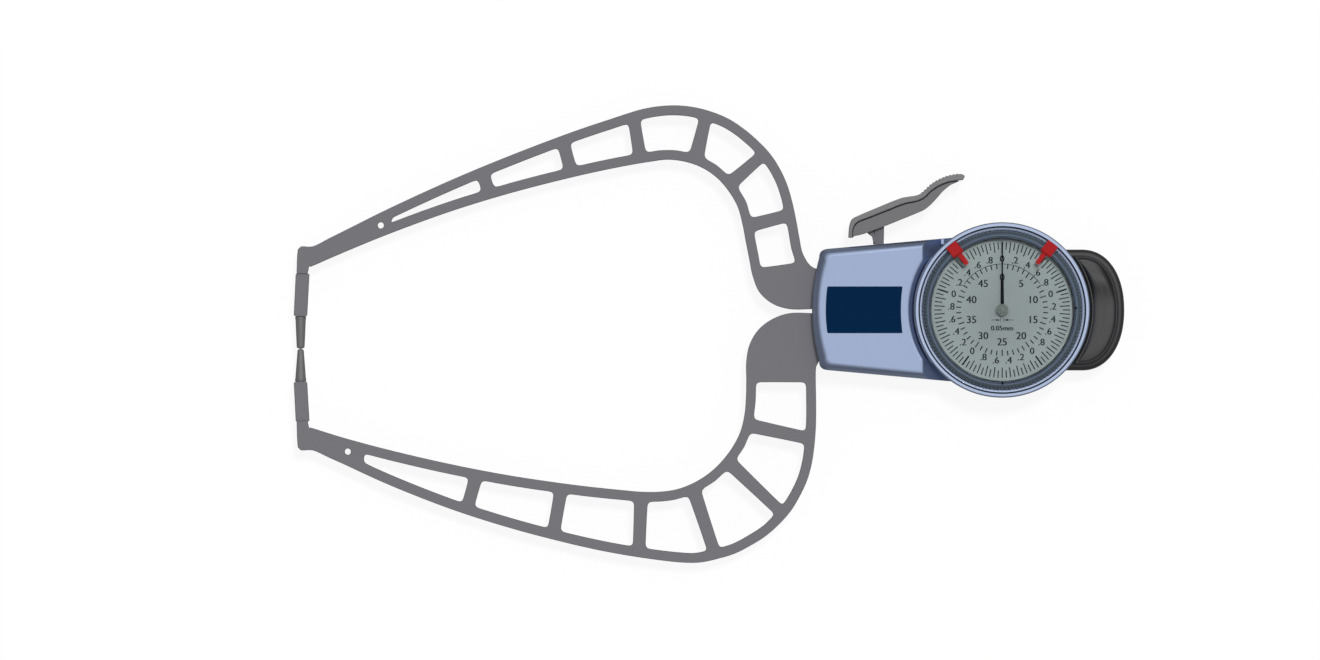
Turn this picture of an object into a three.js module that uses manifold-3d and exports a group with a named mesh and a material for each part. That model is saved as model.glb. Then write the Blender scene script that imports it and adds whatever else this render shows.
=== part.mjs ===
// Outside measuring gauge with a dial: two long skeleton arms, a housing with a geared movement,
// a turning bezel with two tolerance markers, and a finger lever that opens the upper arm.
// Millimetres. The gauge lies on its flat back: +Z is up and out of the dial, +X points from the
// contacts to the rear grip, and the origin is where the dial axis meets the flat back.
import * as THREE from "three";
import { mergeVertices } from "three/addons/utils/BufferGeometryUtils.js";
import Module from "manifold-3d";

const wasm = await Module();
wasm.setup();

// Measuring geometry
const measuringSpan = 50;
const contactRadius = 201.055;
const contactDrop = 14.6;
const contactGap = 0.3;
const pivotToDial = 62.8;

// Clearances
const seatGap = 0.1;
const partGap = 0.3;
const shaftClearance = 0.05;

// Housing
const floorThickness = 2.5;
const wallThickness = 2.5;
const rearShellHeight = 8.4;
const gasketThickness = 0.4;
const faceDrop = 0.8;
const neckBevelHeight = 3.5;
const neckTopLeftY = 22.7;
const neckTopRightY = 26.9;
const neckBottomLeftY = -22.3;
const neckBottomRightY = -26.6;
const neckBeyondPivot = 5.6;
const neckLeftBow = 2.7;
const neckRightX = -21.5;
const neckCornerRadius = 2.4;
const faceInsetLeft = 2.8;
const faceInsetTop = 2.2;
const faceInsetBottom = 3.0;
const faceRightX = -30.2;
const faceRightSlope = 2.2;
const headRadius = 31.5;
const bezelGrooveDepth = 3;
const bezelGrooveGap = 0.5;
const faceArcInset = 2;
const backChamfer = 1.2;
const gasketInset = 0.2;
const rearBossRadius = 2.6;
const frontBossRadius = 2.4;
const armBossRadius = 3;
const springPostRadius = 1;
const stopPinRadius = 1.2;
const pillarStudRadius = 0.9;

// Rear grip
const gripBehindHead = 14.5;
const gripRoundLength = 16;
const gripLength = 28;
const gripHalfHeight = 22.7;
const gripRim = 2.0;
const gripDish = 1.2;
const gripEdge = 2.2;
const gripFlangeInset = 2.4;
const gripScrewEnd = 10;

// Name plate
const plateBeforePivot = 2.7;
const plateLength = 28.1;
const plateTopY = 8.8;
const plateBottomY = -8.65;
const plateThickness = 0.7;
const plateRecess = 0.4;
const plateBow = 0.6;
const plateCorner = 0.5;

// Arms
const armClearance = 0.2;
const armThickness = 6;
const railWidth = 3.7;
const ribWidth = 4.9;
const windowCorner = 1.7;
const edgeStep = 6.8;
const armSplit = 1.5;
const upperMouthY = 0.34;
const hubRadius = 7.2;
const hubClearance = 0.7;
const mouthInset = 1.2;
const mouthDepth = 2.9;
const stemClearance = 0.7;
const tailReach = 36.5;
const tailLowY = -3;
const tailRise = 1.4;
const tailTopY = 10.5;
const stopPinReach = 25;
const stemFromPivot = 14.9;
const stemWidth = 3.8;
const stemTopY = 34.3;
const tipHoleRadius = 1.2;
const tipOffset = 1;
const tipCorner = 1.1;
const upperTipHole = [-170.4, 31.8];
const lowerTipHole = [-182.8, -53.2];

// Contacts
const sleeveRadius = 2.72;
const sleeveLength = 16;
const sleeveBore = 1.55;
const neckWidth = 4.1;
const neckTilt = 0.5;
const pinBaseRadius = 2.05;
const pinTipRadius = 1.55;
const pinLength = 12;
const lowerPinBaseRadius = 2.2;
const lowerPinTipRadius = 1.3;
const lowerPinLength = 13.8;
const lowerSleeveLength = 13;

// Lever
const leverWidth = 14;
const leverFloorLift = 0.55;
const leverSideInset = 0.4;
const leverPinRadius = 1.0;
const leverPinBelowStem = 1.7;

// Pivot
const pivotRadius = 3;
const bushRadius = 4.6;
const washerRadius = 5.4;
const washerThickness = 0.4;
const pivotBossRadius = 4.2;
const springRadius = 5.0;
const springWireRadius = 0.35;
const springPitch = 1.35;
const springTurns = 3.25;
const springLegLength = 3.6;
const springSides = 5;
const springStepsPerTurn = 10;
const springPostOffset = [1.2, -11.5];

// Gear train
const sectorTeeth = 210;
const firstPinionTeeth = 10;
const firstWheelTeeth = 120;
const centrePinionTeeth = 10;
const counterWheelTeeth = 36;
const shortWheelTeeth = 30;
const arborInset = 6.35;
const sectorThickness = 1.2;
const sectorInnerRadius = 24;
const wheelThickness = 0.8;
const wheelSpacing = 1.3;
const plateHeadRoom = 1.2;
const pinionFaceWidth = 1.6;
const wheelCollarRadius = 2;
const wheelCollarHeight = 0.7;
const sectorGap = 0.2;
const arborRadius = 0.95;
const arborPivotRadius = 0.5;
const centreArborRadius = 0.8;
const centrePivotRadius = 0.45;
const handPostRadius = 0.55;
const pipeRadius = 1.15;
const pipeBore = 0.6;
const pressGap = 0.02;
const crowdedTeeth = 100;
const wheelWindows = 5;
const wheelRimWidth = 2.8;

// Hair spring
const hairTurns = 4;
const hairStepsPerTurn = 14;
const hairOuterRadius = 5.4;
const hairBand = 0.22;
const hairHeight = 0.7;
const hairStudRadius = 0.5;
const hairStudReach = 6.3;

// Movement plates
const rearPlateLevel = 11;
const movementPlateThickness = 1.4;
const movementPlateInset = 6.4;
const pillarInset = 2.8;
const pillarRadius = 1.8;
const pillarAngles = [0, 125, -125];

// Dial, hands and bezel
const dialAbovePlate = 0.8;
const bezelOverhang = 1.4;
const rimHeight = 2;
const rimWidth = 1.2;
const innerRingHeight = 0.9;
const innerRingWidth = 0.8;
const knurlInset = 3.2;
const knurlSlope = 1.4;
const knurlWall = 0.8;
const lensRingWidth = 0.8;
const sealWidth = 0.9;
const dialFit = 0.3;
const dialLedge = 1.3;
const handClearance = 0.9;
const handSpacing = 0.8;
const lensClearance = 1.3;
const bezelAboveLens = 1;
const slipInset = 0.5;
const slipWidth = 1.6;
const dialThickness = 0.6;
const dialHole = 2.2;
const shortHandLength = 12.2;
const handThickness = 0.25;
const longHandTail = 2.1;
const longHandWidths = [0.7, 0.4];
const longHandHub = 1.9;
const shortHandTail = 2.2;
const shortHandWidths = [0.9, 0.7];
const shortHandHub = 1.7;
const handPostReach = 0.6;
const capRadius = 2.3;
const knurlFlutes = 48;
const knurlDepth = 0.35;
const lensThickness = 1.4;
const lensFlange = 0.7;
const lensFit = 0.15;
const lensSealHeight = 0.6;
const slipThickness = 0.3;
const slipGap = 0.05;

// Tolerance markers
const markerInset = 0.7;
const markerLength = 6;
const markerPointerLength = 4.6;
const markerHookWidth = 0.9;
const leftMarkerAngle = 127.6;
const rightMarkerAngle = 53;
const markerWidth = 4.6;
const markerPointerWidth = 0.9;
const markerTop = 1.3;

// Screws
const screwRadius = 0.85;
const screwHeadRadius = 2.1;
const screwHeadHeight = 1.4;
const screwSlotWidth = 0.5;
const screwSlotDepth = 0.55;
const movementScrewRadius = 0.8;
const movementHeadRadius = 1.6;
const movementHeadHeight = 0.55;

// Screw places: along X from the pivot, and in from the upper or lower side of the neck
const neckScrewsX = [5.8, 6.8];
const neckScrewInsets = [3.5, 3];
const headScrewInset = 4.48;
const headScrewAngles = [39, -39];
const armScrewsFromPivot = [
  [-1.2, -13.2],
  [15.8, -14.2],
];
const gripScrewInset = 9;
const gripScrewSpread = 9;
const sectorScrewPlaces = [
  [28.5, 1.8],
  [28.5, 6.2],
];

// The edges of the arms, from the tip to the housing, measured from the pivot. They stretch with
// the reach, so that they start at this distance from the axis of the contacts.
const edgeStart = 4.524;
const upperOuterEdge = [
  [-196, 23.9], [-183.7, 30], [-166.8, 38.4], [-144.3, 48.7], [-121.8, 58.05],
  [-99.3, 66.6], [-82.4, 72.3], [-71.2, 75.7], [-59.9, 76.9], [-48.7, 75.3],
  [-37.4, 70.5], [-26.2, 61.1], [-20.1, 52.5], [-17, 45], [-15.1, 37.5],
  [-13.6, 30], [-12.4, 23.3], [-10.3, 17.6], [-7.8, 15.9],
];
const upperInnerEdge = [
  [-196.7, 16.3], [-183.7, 21.9], [-166.8, 28.8], [-144.3, 37], [-121.8, 43.9],
  [-99.3, 49.7], [-82.4, 53.4], [-71.2, 55.4], [-62.5, 56.5], [-54.3, 55.3],
  [-48.7, 52.9], [-43, 48.6], [-37.4, 41.1], [-34.9, 33.8], [-33.4, 26.3],
  [-32.2, 20.3], [-31.1, 14.3], [-29.1, 8.3], [-26.9, 5.3], [-23.1, 2.3], [-16.8, 0.34],
];
const upperRibs = [[69.5, 72.3], [102, 104], [130.1, 130.4], [159.3, 150.4], [186.8, 165.4], [213, 181.9]];
const upperWindows = { from: [31.7, 34], to: [230.3, 198.3] };
const lowerOuterEdge = [
  [-196, -52.7], [-183.7, -58.2], [-166.8, -65.9], [-144.3, -74.7], [-121.8, -81.9],
  [-99.3, -87.8], [-82.4, -91.4], [-65.5, -94], [-54.3, -95], [-48.7, -94.5],
  [-37.4, -91.5], [-26.2, -85.2], [-20.5, -80.2], [-14.9, -73.3], [-9.3, -61.2],
  [-7, -45], [-7, -24.5],
];
const lowerInnerEdge = [
  [-196.7, -44.2], [-183.7, -48.2], [-166.8, -52.7], [-144.3, -57.9], [-121.8, -62.2],
  [-99.3, -65.5], [-82.4, -67.4], [-69.3, -68.4], [-59.9, -67.5], [-54.3, -65.6],
  [-48.7, -62.5], [-43, -57.6], [-37.4, -50.2], [-35.1, -45], [-33.5, -37.5],
  [-33.1, -28.1], [-33.05, -18.8], [-31.8, -12.8], [-30.3, -9.8], [-28, -6.8],
  [-24.3, -3.8], [-16.8, -1.16],
];
const lowerRibs = [[62.1, 64.5], [96, 96.7], [129, 126.8], [158.6, 145.7], [190.2, 161.7], [222, 176.7]];
const lowerWindows = { from: [19.2, 22], to: [243.1, 192.4] };

// The root of the fixed arm inside the housing, from the pivot
const fixedArmRoot = [
  [-6.8, -21.2], [-5.8, -19.3], [-2.2, -17.4], [1.8, -16.2], [11.8, -16.2],
  [15.8, -17.2], [20.6, -17.2], [20.6, -12.4], [12.8, -9.6],
];

// Lever outline measured from the pivot, left end first, along the top, round the thumb end and back below
const leverTop = [
  [5.6, 31], [6.6, 34.1], [8.2, 35.1], [15.9, 38.4], [24.9, 42], [28.1, 42.6],
  [31, 43.1], [33, 44.1], [37.1, 47.7], [41.1, 49.8], [44.8, 50.8], [47.6, 51.1],
];
const leverThumbEnd = [[48.7, 50.1], [48.1, 48.9]];
const leverUnderside = [
  [43.6, 46.4], [40.8, 44.1], [37.5, 40.4], [35, 38], [33, 36.7], [25.3, 33.5],
  [19.6, 31.2], [12.7, 28.6], [10.2, 27.8], [7, 27.1], [5.4, 27.4],
];
const leverSplit = [
  [6.4, 30.6], [8.2, 32.3], [11, 33.5], [19.2, 36.9], [26.1, 39.6], [31.4, 40.8],
  [33.8, 42], [36.2, 44.3], [39.5, 46.5], [43.2, 47.9], [46.6, 48.3],
];

// Values worked out from the sizes above
const pivot = new THREE.Vector2(-pivotToDial, 0);
const openAngle = 2 * Math.asin(measuringSpan / 2 / contactRadius);
const contactX = pivot.x - Math.sqrt(contactRadius ** 2 - contactDrop ** 2);
const armStretch = (contactX + edgeStart - pivot.x) / upperOuterEdge[0][0];
const plateRadius = headRadius - wallThickness - movementPlateInset;
const arborOffset = plateRadius - arborInset;
const arbor = new THREE.Vector2(-arborOffset, 0);
const firstModule = (2 * (pivotToDial - arborOffset)) / (sectorTeeth + firstPinionTeeth);
const secondModule = (2 * arborOffset) / (firstWheelTeeth + centrePinionTeeth);
const counterModule = (2 * arborOffset) / (counterWheelTeeth + shortWheelTeeth);

// Levels, from the back up
const frontShellLevel = rearShellHeight + gasketThickness;
const armBottom = frontShellLevel + armClearance;
const armTop = armBottom + armThickness;
const sectorLevel = armTop + sectorGap;
const pinionLevel = sectorLevel - (pinionFaceWidth - sectorThickness) / 2;
const wheelLevel = sectorLevel + sectorThickness + screwHeadHeight + partGap;
const counterLevel = wheelLevel + wheelThickness + wheelSpacing;
const frontPlateLevel = counterLevel + wheelThickness + plateHeadRoom;
const dialLevel = frontPlateLevel + movementPlateThickness + dialAbovePlate;
const headHeight = dialLevel - 1.2;
const neckHeight = headHeight + faceDrop;
const bezelGrooveHeight = headHeight - bezelGrooveDepth;
const bezelSkirtLevel = bezelGrooveHeight + 0.5;
const gripHeight = bezelSkirtLevel - 0.2;
const shortHandLevel = dialLevel + dialThickness + 0.8;
const longHandLevel = shortHandLevel + handSpacing;
const lensLevel = longHandLevel + lensClearance;
const bezelTop = lensLevel + lensThickness + bezelAboveLens;
const knurlLevel = dialLevel + dialThickness + partGap;
const rimTop = knurlLevel + rimHeight;
const pillarStudLow = rearPlateLevel - 4.5;
const centreShoulderLevel = counterLevel - 0.6;
const pipeLevel = counterLevel - 0.4;

// Radii of the head, from the outside in
const bezelRadius = headRadius + bezelOverhang;
const bezelGrooveRadius = bezelRadius + bezelGrooveGap;
const faceArcRadius = bezelGrooveRadius + faceArcInset;
const knurlOuterRadius = bezelRadius - knurlInset;
const knurlInnerRadius = knurlOuterRadius - knurlSlope;
const lensRadius = knurlInnerRadius - knurlWall;
const lensVisibleRadius = lensRadius - lensRingWidth;
const sealInnerRadius = lensRadius - sealWidth;
const dialRadius = lensRadius - dialFit;
const dialLedgeRadius = dialRadius - dialLedge;
const longHandLength = lensVisibleRadius - handClearance;
const slipOuterRadius = headRadius - slipInset;
const slipInnerRadius = slipOuterRadius - slipWidth;
const pillarCircle = plateRadius - pillarInset;
const markerOuterRadius = bezelRadius - markerInset;
const markerInnerRadius = markerOuterRadius - markerLength;
const markerPointerRadius = markerInnerRadius - markerPointerLength;

// Places along X
const neckLeftX = pivot.x - neckBeyondPivot;
const plateLeftX = pivot.x - plateBeforePivot;
const plateRightX = plateLeftX + plateLength;
const stemLeftX = pivot.x + stemFromPivot;
const stemRightX = stemLeftX + stemWidth;
const leverPinX = stemLeftX + stemWidth / 2;
const leverPinY = stemTopY - leverPinBelowStem;
const gripEndX = headRadius + gripBehindHead;
const gripRoundX = gripEndX - gripRoundLength;
const gripStartX = gripEndX - gripLength;
const neckScrewPlaces = [
  [pivot.x + neckScrewsX[0], neckTopLeftY - neckScrewInsets[0]],
  [pivot.x + neckScrewsX[1], neckBottomLeftY + neckScrewInsets[1]],
];
const headScrewPlaces = headScrewAngles.map((angle) => {
  const turn = THREE.MathUtils.degToRad(angle);
  const circle = headRadius - headScrewInset;
  return [circle * Math.cos(turn), circle * Math.sin(turn)];
});
const armScrewPlaces = armScrewsFromPivot.map(([x, y]) => [pivot.x + x, y]);
const gripScrewPlaces = [gripScrewSpread, -gripScrewSpread].map((y) => [gripEndX - gripScrewInset, y]);

// Facets of round shapes
const boreFacets = 24;
const bossFacets = 12;
const holeFacets = 8;
const roundFacets = 40;
const headFacets = 64;

// Solids: making, joining and cutting

function solid(geometry) {
  const bare = geometry.index ? geometry.toNonIndexed() : geometry.clone();
  bare.deleteAttribute("normal");
  bare.deleteAttribute("uv");
  const merged = mergeVertices(bare, 1e-4);
  const corners = merged.index.array;
  const kept = [];
  for (let i = 0; i < corners.length; i += 3) {
    const [a, b, c] = [corners[i], corners[i + 1], corners[i + 2]];
    if (a !== b && b !== c && c !== a) kept.push(a, b, c);
  }
  return new wasm.Manifold(
    new wasm.Mesh({
      numProp: 3,
      vertProperties: new Float32Array(merged.attributes.position.array),
      triVerts: new Uint32Array(kept),
    }),
  );
}

function geometryOf(made) {
  const mesh = made.getMesh();
  const geometry = new THREE.BufferGeometry();
  geometry.setAttribute("position", new THREE.BufferAttribute(mesh.vertProperties, 3));
  geometry.setIndex(new THREE.BufferAttribute(mesh.triVerts, 1));
  const flat = geometry.toNonIndexed();
  flat.computeVertexNormals();
  return flat;
}

const join = (first, ...others) => others.reduce((sum, other) => sum.add(other), first);
const cut = (first, ...tools) => tools.reduce((rest, tool) => rest.subtract(tool), first);

function prism(shape, low, high, curveSegments = 8) {
  const geometry = new THREE.ExtrudeGeometry(shape, {
    depth: high - low,
    bevelEnabled: false,
    curveSegments,
  });
  return solid(geometry.translate(0, 0, low));
}

function cylinder(x, y, radius, low, high, facets = 24) {
  const geometry = new THREE.CylinderGeometry(radius, radius, high - low, facets);
  geometry.rotateX(Math.PI / 2);
  return solid(geometry.translate(x, y, (low + high) / 2));
}

// A hole whose flats, not its corners, stand at the radius, so that a shaft clears them
function bore(x, y, radius, low, high, facets = boreFacets) {
  return cylinder(x, y, radius / Math.cos(Math.PI / facets), low, high, facets);
}

function box(low, high) {
  const size = high.map((value, i) => value - low[i]);
  const geometry = new THREE.BoxGeometry(...size);
  return solid(geometry.translate(...low.map((value, i) => value + size[i] / 2)));
}

// A turned solid about the Z axis through (x, y), from a profile of [radius, height] points
function turned(profile, facets = 48, x = 0, y = 0) {
  const area = profile.reduce((sum, [r, z], i) => {
    const [nextR, nextZ] = profile[(i + 1) % profile.length];
    return sum + r * nextZ - nextR * z;
  }, 0);
  const ordered = area > 0 ? profile : [...profile].reverse();
  const points = ordered.map(([r, z]) => new THREE.Vector2(r, z));
  const open = ordered.some(([r]) => r === 0);
  if (!open) points.push(points[0].clone());
  const start = open ? ordered.findIndex(([r], i) => r === 0 && ordered.at(i - 1)[0] === 0) : 0;
  const run = open ? [...points.slice(start), ...points.slice(0, start)] : points;
  const geometry = new THREE.LatheGeometry(run, facets);
  geometry.rotateX(Math.PI / 2);
  return solid(geometry.translate(x, y, 0));
}

// A solid through stacked rings of equal count, each { z, points }, closed by flat ends
function stacked(rings) {
  const count = rings[0].points.length;
  const positions = rings.flatMap(({ z, points }) => points.flatMap((p) => [p.x, p.y, z]));
  const index = [];
  for (let level = 0; level < rings.length - 1; level++) {
    for (let i = 0; i < count; i++) {
      const a = level * count + i;
      const b = level * count + ((i + 1) % count);
      index.push(a, b, b + count, a, b + count, a + count);
    }
  }
  const top = (rings.length - 1) * count;
  const topFaces = THREE.ShapeUtils.triangulateShape(rings.at(-1).points, []);
  const lowFaces = THREE.ShapeUtils.triangulateShape(rings[0].points, []);
  for (const [a, b, c] of topFaces) index.push(top + a, top + b, top + c);
  for (const [a, b, c] of lowFaces) index.push(a, c, b);
  const geometry = new THREE.BufferGeometry();
  geometry.setAttribute("position", new THREE.Float32BufferAttribute(positions, 3));
  geometry.setIndex(index);
  return solid(geometry);
}

// Flat outlines

const vector = ([x, y]) => new THREE.Vector2(x, y);
const polar = (radius, angle, centre = new THREE.Vector2()) =>
  new THREE.Vector2(centre.x + radius * Math.cos(angle), centre.y + radius * Math.sin(angle));
const radians = THREE.MathUtils.degToRad;

const rectangle = (left, right, low, high) =>
  [[left, low], [right, low], [right, high], [left, high]].map(vector);

function arcPoints(centre, radius, from, to, steps) {
  const points = [];
  for (let i = 0; i <= steps; i++) {
    points.push(polar(radius, from + ((to - from) * i) / steps, centre));
  }
  return points;
}

function counterClockwise(points) {
  return THREE.ShapeUtils.isClockWise(points) ? [...points].reverse() : points;
}

// Rounds each sharp corner of a closed outline, limited by the sides that meet there
function roundedCorners(points, radius, steps = 3, sharpness = 0.4) {
  const count = points.length;
  const result = [];
  for (let i = 0; i < count; i++) {
    const here = points[i];
    const before = points[(i + count - 1) % count].clone().sub(here);
    const after = points[(i + 1) % count].clone().sub(here);
    const turn = Math.PI - Math.abs(Math.atan2(before.cross(after), before.dot(after)));
    if (turn < sharpness) {
      result.push(here);
      continue;
    }
    const reach = Math.min(radius, 0.45 * before.length(), 0.45 * after.length());
    const start = here.clone().add(before.setLength(reach));
    const end = here.clone().add(after.setLength(reach));
    result.push(...new THREE.QuadraticBezierCurve(start, here, end).getPoints(steps));
  }
  return result;
}

// Height of the neck's upper and lower side, seen from the front
function neckTopAt(x) {
  const along = (x - neckLeftX) / (neckRightX - neckLeftX);
  return THREE.MathUtils.lerp(neckTopLeftY, neckTopRightY, along);
}

function neckBottomAt(x) {
  const along = (x - neckLeftX) / (neckRightX - neckLeftX);
  return THREE.MathUtils.lerp(neckBottomLeftY, neckBottomRightY, along);
}

// The neck of the housing seen from the front, drawn in by the given amounts
function neckPoints(left, top, bottom, rightX) {
  const topAt = (x) => neckTopAt(x) - top;
  const bottomAt = (x) => neckBottomAt(x) + bottom;
  const leftX = neckLeftX + left;
  const bow = new THREE.QuadraticBezierCurve(
    new THREE.Vector2(leftX, topAt(leftX) - neckCornerRadius),
    new THREE.Vector2(leftX - 2 * neckLeftBow, 0),
    new THREE.Vector2(leftX, bottomAt(leftX) + neckCornerRadius),
  ).getPoints(8);
  const topCorner = new THREE.QuadraticBezierCurve(
    new THREE.Vector2(leftX + neckCornerRadius, topAt(leftX + neckCornerRadius)),
    new THREE.Vector2(leftX - 0.1, topAt(leftX)),
    bow[0],
  ).getPoints(3);
  const bottomCorner = new THREE.QuadraticBezierCurve(
    bow.at(-1),
    new THREE.Vector2(leftX - 0.1, bottomAt(leftX)),
    new THREE.Vector2(leftX + neckCornerRadius, bottomAt(leftX + neckCornerRadius)),
  ).getPoints(3);
  return [
    new THREE.Vector2(rightX, bottomAt(rightX)),
    new THREE.Vector2(rightX, topAt(rightX)),
    ...topCorner.slice(0, -1),
    ...bow,
    ...bottomCorner.slice(1),
  ];
}

function neckPrism(inset, low, high, rightX = neckRightX) {
  return prism(new THREE.Shape(neckPoints(inset, inset, inset, rightX)), low, high);
}

// The rounded rear end: straight sides from the head, then a half oval
function gripPoints(inset) {
  const width = gripEndX - gripRoundX - inset;
  const half = gripHalfHeight - inset;
  const points = [new THREE.Vector2(gripStartX, -half)];
  const steps = 16;
  for (let i = 0; i <= steps; i++) {
    const angle = -Math.PI / 2 + (Math.PI * i) / steps;
    const fullness = 0.92;
    const x = gripRoundX + width * Math.abs(Math.cos(angle)) ** fullness;
    const y = half * Math.sign(Math.sin(angle)) * Math.abs(Math.sin(angle)) ** fullness;
    points.push(new THREE.Vector2(x, y));
  }
  points.push(new THREE.Vector2(gripStartX, half));
  return points;
}

// Housing

function rearShell() {
  const tray = join(
    neckPrism(0, backChamfer, rearShellHeight),
    stacked([
      { z: 0, points: neckPoints(backChamfer, backChamfer, backChamfer, neckRightX) },
      { z: backChamfer, points: neckPoints(0, 0, 0, neckRightX) },
    ]),
    turned(
      [
        [0, 0], [headRadius - backChamfer, 0], [headRadius, backChamfer],
        [headRadius, rearShellHeight], [0, rearShellHeight],
      ],
      headFacets,
    ),
    prism(new THREE.Shape(gripPoints(gripFlangeInset)), 0, floorThickness),
  );
  const hollow = join(
    neckPrism(wallThickness, floorThickness, rearShellHeight + 1, neckRightX - wallThickness),
    cylinder(0, 0, headRadius - wallThickness, floorThickness, rearShellHeight + 1, roundFacets),
  );
  const bossLow = floorThickness - 1;
  const boss = (radius, top) => ([x, y]) => cylinder(x, y, radius, bossLow, top, bossFacets);
  const hole = (radius, low, high) => ([x, y]) => cylinder(x, y, radius, low, high, holeFacets);
  const washerSeat = armBottom - washerThickness - seatGap * 2;
  const bosses = [
    ...[...neckScrewPlaces, ...headScrewPlaces].map(boss(rearBossRadius, rearShellHeight)),
    ...armScrewPlaces.map(boss(armBossRadius, armBottom - seatGap)),
    ...pillarPlaces().map(boss(rearBossRadius, rearPlateLevel - seatGap)),
    cylinder(pivot.x, pivot.y, pivotBossRadius, bossLow, washerSeat),
    boss(springPostRadius, rearShellHeight - 2.6)(springPostPlace().toArray()),
  ];
  const sunkHeads = [...neckScrewPlaces, ...headScrewPlaces, ...gripScrewPlaces];
  const holes = [
    ...[...neckScrewPlaces, ...headScrewPlaces].map(hole(screwRadius + partGap, -1, rearShellHeight + 1)),
    ...gripScrewPlaces.map(hole(screwRadius + partGap, -1, floorThickness + 1)),
    ...sunkHeads.map(([x, y]) =>
      cylinder(x, y, screwHeadRadius + partGap, -1, screwHeadHeight + seatGap, bossFacets),
    ),
    ...armScrewPlaces.map(hole(screwRadius + seatGap, floorThickness + 1, armBottom + 1)),
    ...pillarPlaces().map(hole(pillarStudRadius + seatGap * 2, pillarStudLow - 0.5, rearPlateLevel + 1)),
    bore(pivot.x, pivot.y, pivotRadius + shaftClearance, floorThickness, armBottom + 1),
    hole(stopPinRadius + seatGap, floorThickness - 1, floorThickness + 1)(stopPinPlace().toArray()),
  ];
  return cut(join(cut(tray, hollow), ...bosses), ...holes);
}

function shellGasket() {
  const outer = join(
    neckPrism(gasketInset, rearShellHeight, frontShellLevel),
    cylinder(0, 0, headRadius - gasketInset, rearShellHeight, frontShellLevel, roundFacets),
  );
  const low = rearShellHeight - 1;
  const high = frontShellLevel + 1;
  const innerInset = wallThickness - gasketInset;
  const inner = join(
    neckPrism(innerInset, low, high, neckRightX - wallThickness),
    cylinder(0, 0, headRadius - innerInset, low, high, roundFacets),
  );
  return cut(outer, inner);
}

function frontShell() {
  const bevelLevel = neckHeight - neckBevelHeight;
  const bevelRing = (turn) => {
    const share = 1 - Math.cos(turn);
    const insets = [faceInsetLeft, faceInsetTop, faceInsetBottom].map((inset) => inset * share);
    return { z: bevelLevel + neckBevelHeight * Math.sin(turn), points: neckPoints(...insets, neckRightX) };
  };
  const neck = stacked([
    { z: frontShellLevel, points: neckPoints(0, 0, 0, neckRightX) },
    ...[0, Math.PI / 6, Math.PI / 3, Math.PI / 2].map(bevelRing),
  ]);
  const body = join(neck, cylinder(0, 0, headRadius, frontShellLevel, headHeight, roundFacets));
  const headKept = cylinder(0, 0, headRadius, bevelLevel - 1, headHeight, roundFacets);
  const ceiling = neckHeight - floorThickness;
  const hollow = join(
    neckPrism(wallThickness, frontShellLevel - 1, ceiling, neckRightX - wallThickness),
    cylinder(0, 0, headRadius - wallThickness, frontShellLevel - 1, neckHeight + 1, roundFacets),
  );
  const bezelRoom = turned(
    [
      [headRadius - wallThickness - 1, headHeight], [headRadius, headHeight], [headRadius, bezelGrooveHeight],
      [bezelGrooveRadius, bezelGrooveHeight], [faceArcRadius, neckHeight], [faceArcRadius, neckHeight + 2],
      [headRadius - wallThickness - 1, neckHeight + 2],
    ],
    roundFacets,
  );
  const low = frontShellLevel - 1;
  const headBossTop = headHeight - 3;
  const washerSeat = armTop + washerThickness + seatGap * 2;
  const boss = (top) => ([x, y]) => cylinder(x, y, frontBossRadius, frontShellLevel, top, bossFacets);
  const thread = (top) => ([x, y]) => cylinder(x, y, screwRadius + seatGap, low, top, holeFacets);
  const shoulder = stacked([
    { z: bevelLevel, points: rectangle(faceRightX + faceRightSlope, 0, -bezelRadius, bezelRadius) },
    { z: neckHeight + seatGap, points: rectangle(faceRightX, 0, -bezelRadius, bezelRadius) },
  ]);
  const bosses = [
    ...neckScrewPlaces.map(boss(ceiling + 1)),
    ...headScrewPlaces.map(boss(headBossTop)),
    cylinder(pivot.x, pivot.y, pivotBossRadius, washerSeat, ceiling + 1),
  ];
  const mouth = box(
    [neckLeftX - 8, neckBottomLeftY + mouthInset, low],
    [neckLeftX + mouthDepth, neckTopLeftY + 4, armTop + partGap],
  );
  const stemSlot = box(
    [stemLeftX - stemClearance, neckTopLeftY - 3.5, low],
    [stemSlotEnd() + stemClearance, neckTopRightY + 3, armTop + partGap],
  );
  const plateSeat = prism(new THREE.Shape(platePoints(-seatGap)), neckHeight - plateRecess, neckHeight + 1);
  const holes = [
    ...neckScrewPlaces.map(thread(ceiling - 3)),
    ...headScrewPlaces.map(thread(headBossTop - 2)),
    bore(pivot.x, pivot.y, pivotRadius + shaftClearance, low, ceiling),
  ];
  const shell = join(cut(body, hollow), ...bosses);
  return cut(shell, bezelRoom, cut(shoulder, headKept), mouth, stemSlot, plateSeat, ...holes);
}

// Where the stem's right side crosses the top of the housing at full opening
function stemSlotEnd() {
  const across = (stemRightX - pivot.x) / Math.cos(openAngle);
  return pivot.x + across + (neckTopAt(stemRightX) - pivot.y) * Math.tan(openAngle);
}

function platePoints(inset) {
  const left = plateLeftX + inset;
  const right = plateRightX - inset;
  const top = plateTopY - inset;
  const bottom = plateBottomY + inset;
  const bow = (x, from, to) => {
    const middle = new THREE.Vector2(x - 2 * plateBow, (from + to) / 2);
    return new THREE.QuadraticBezierCurve(vector([x, from]), middle, vector([x, to])).getPoints(6);
  };
  return roundedCorners([...bow(right, bottom, top), ...bow(left, top, bottom)], plateCorner);
}

function namePlate() {
  const low = neckHeight - plateRecess + seatGap;
  return prism(new THREE.Shape(platePoints(0)), low, low + plateThickness);
}

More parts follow.
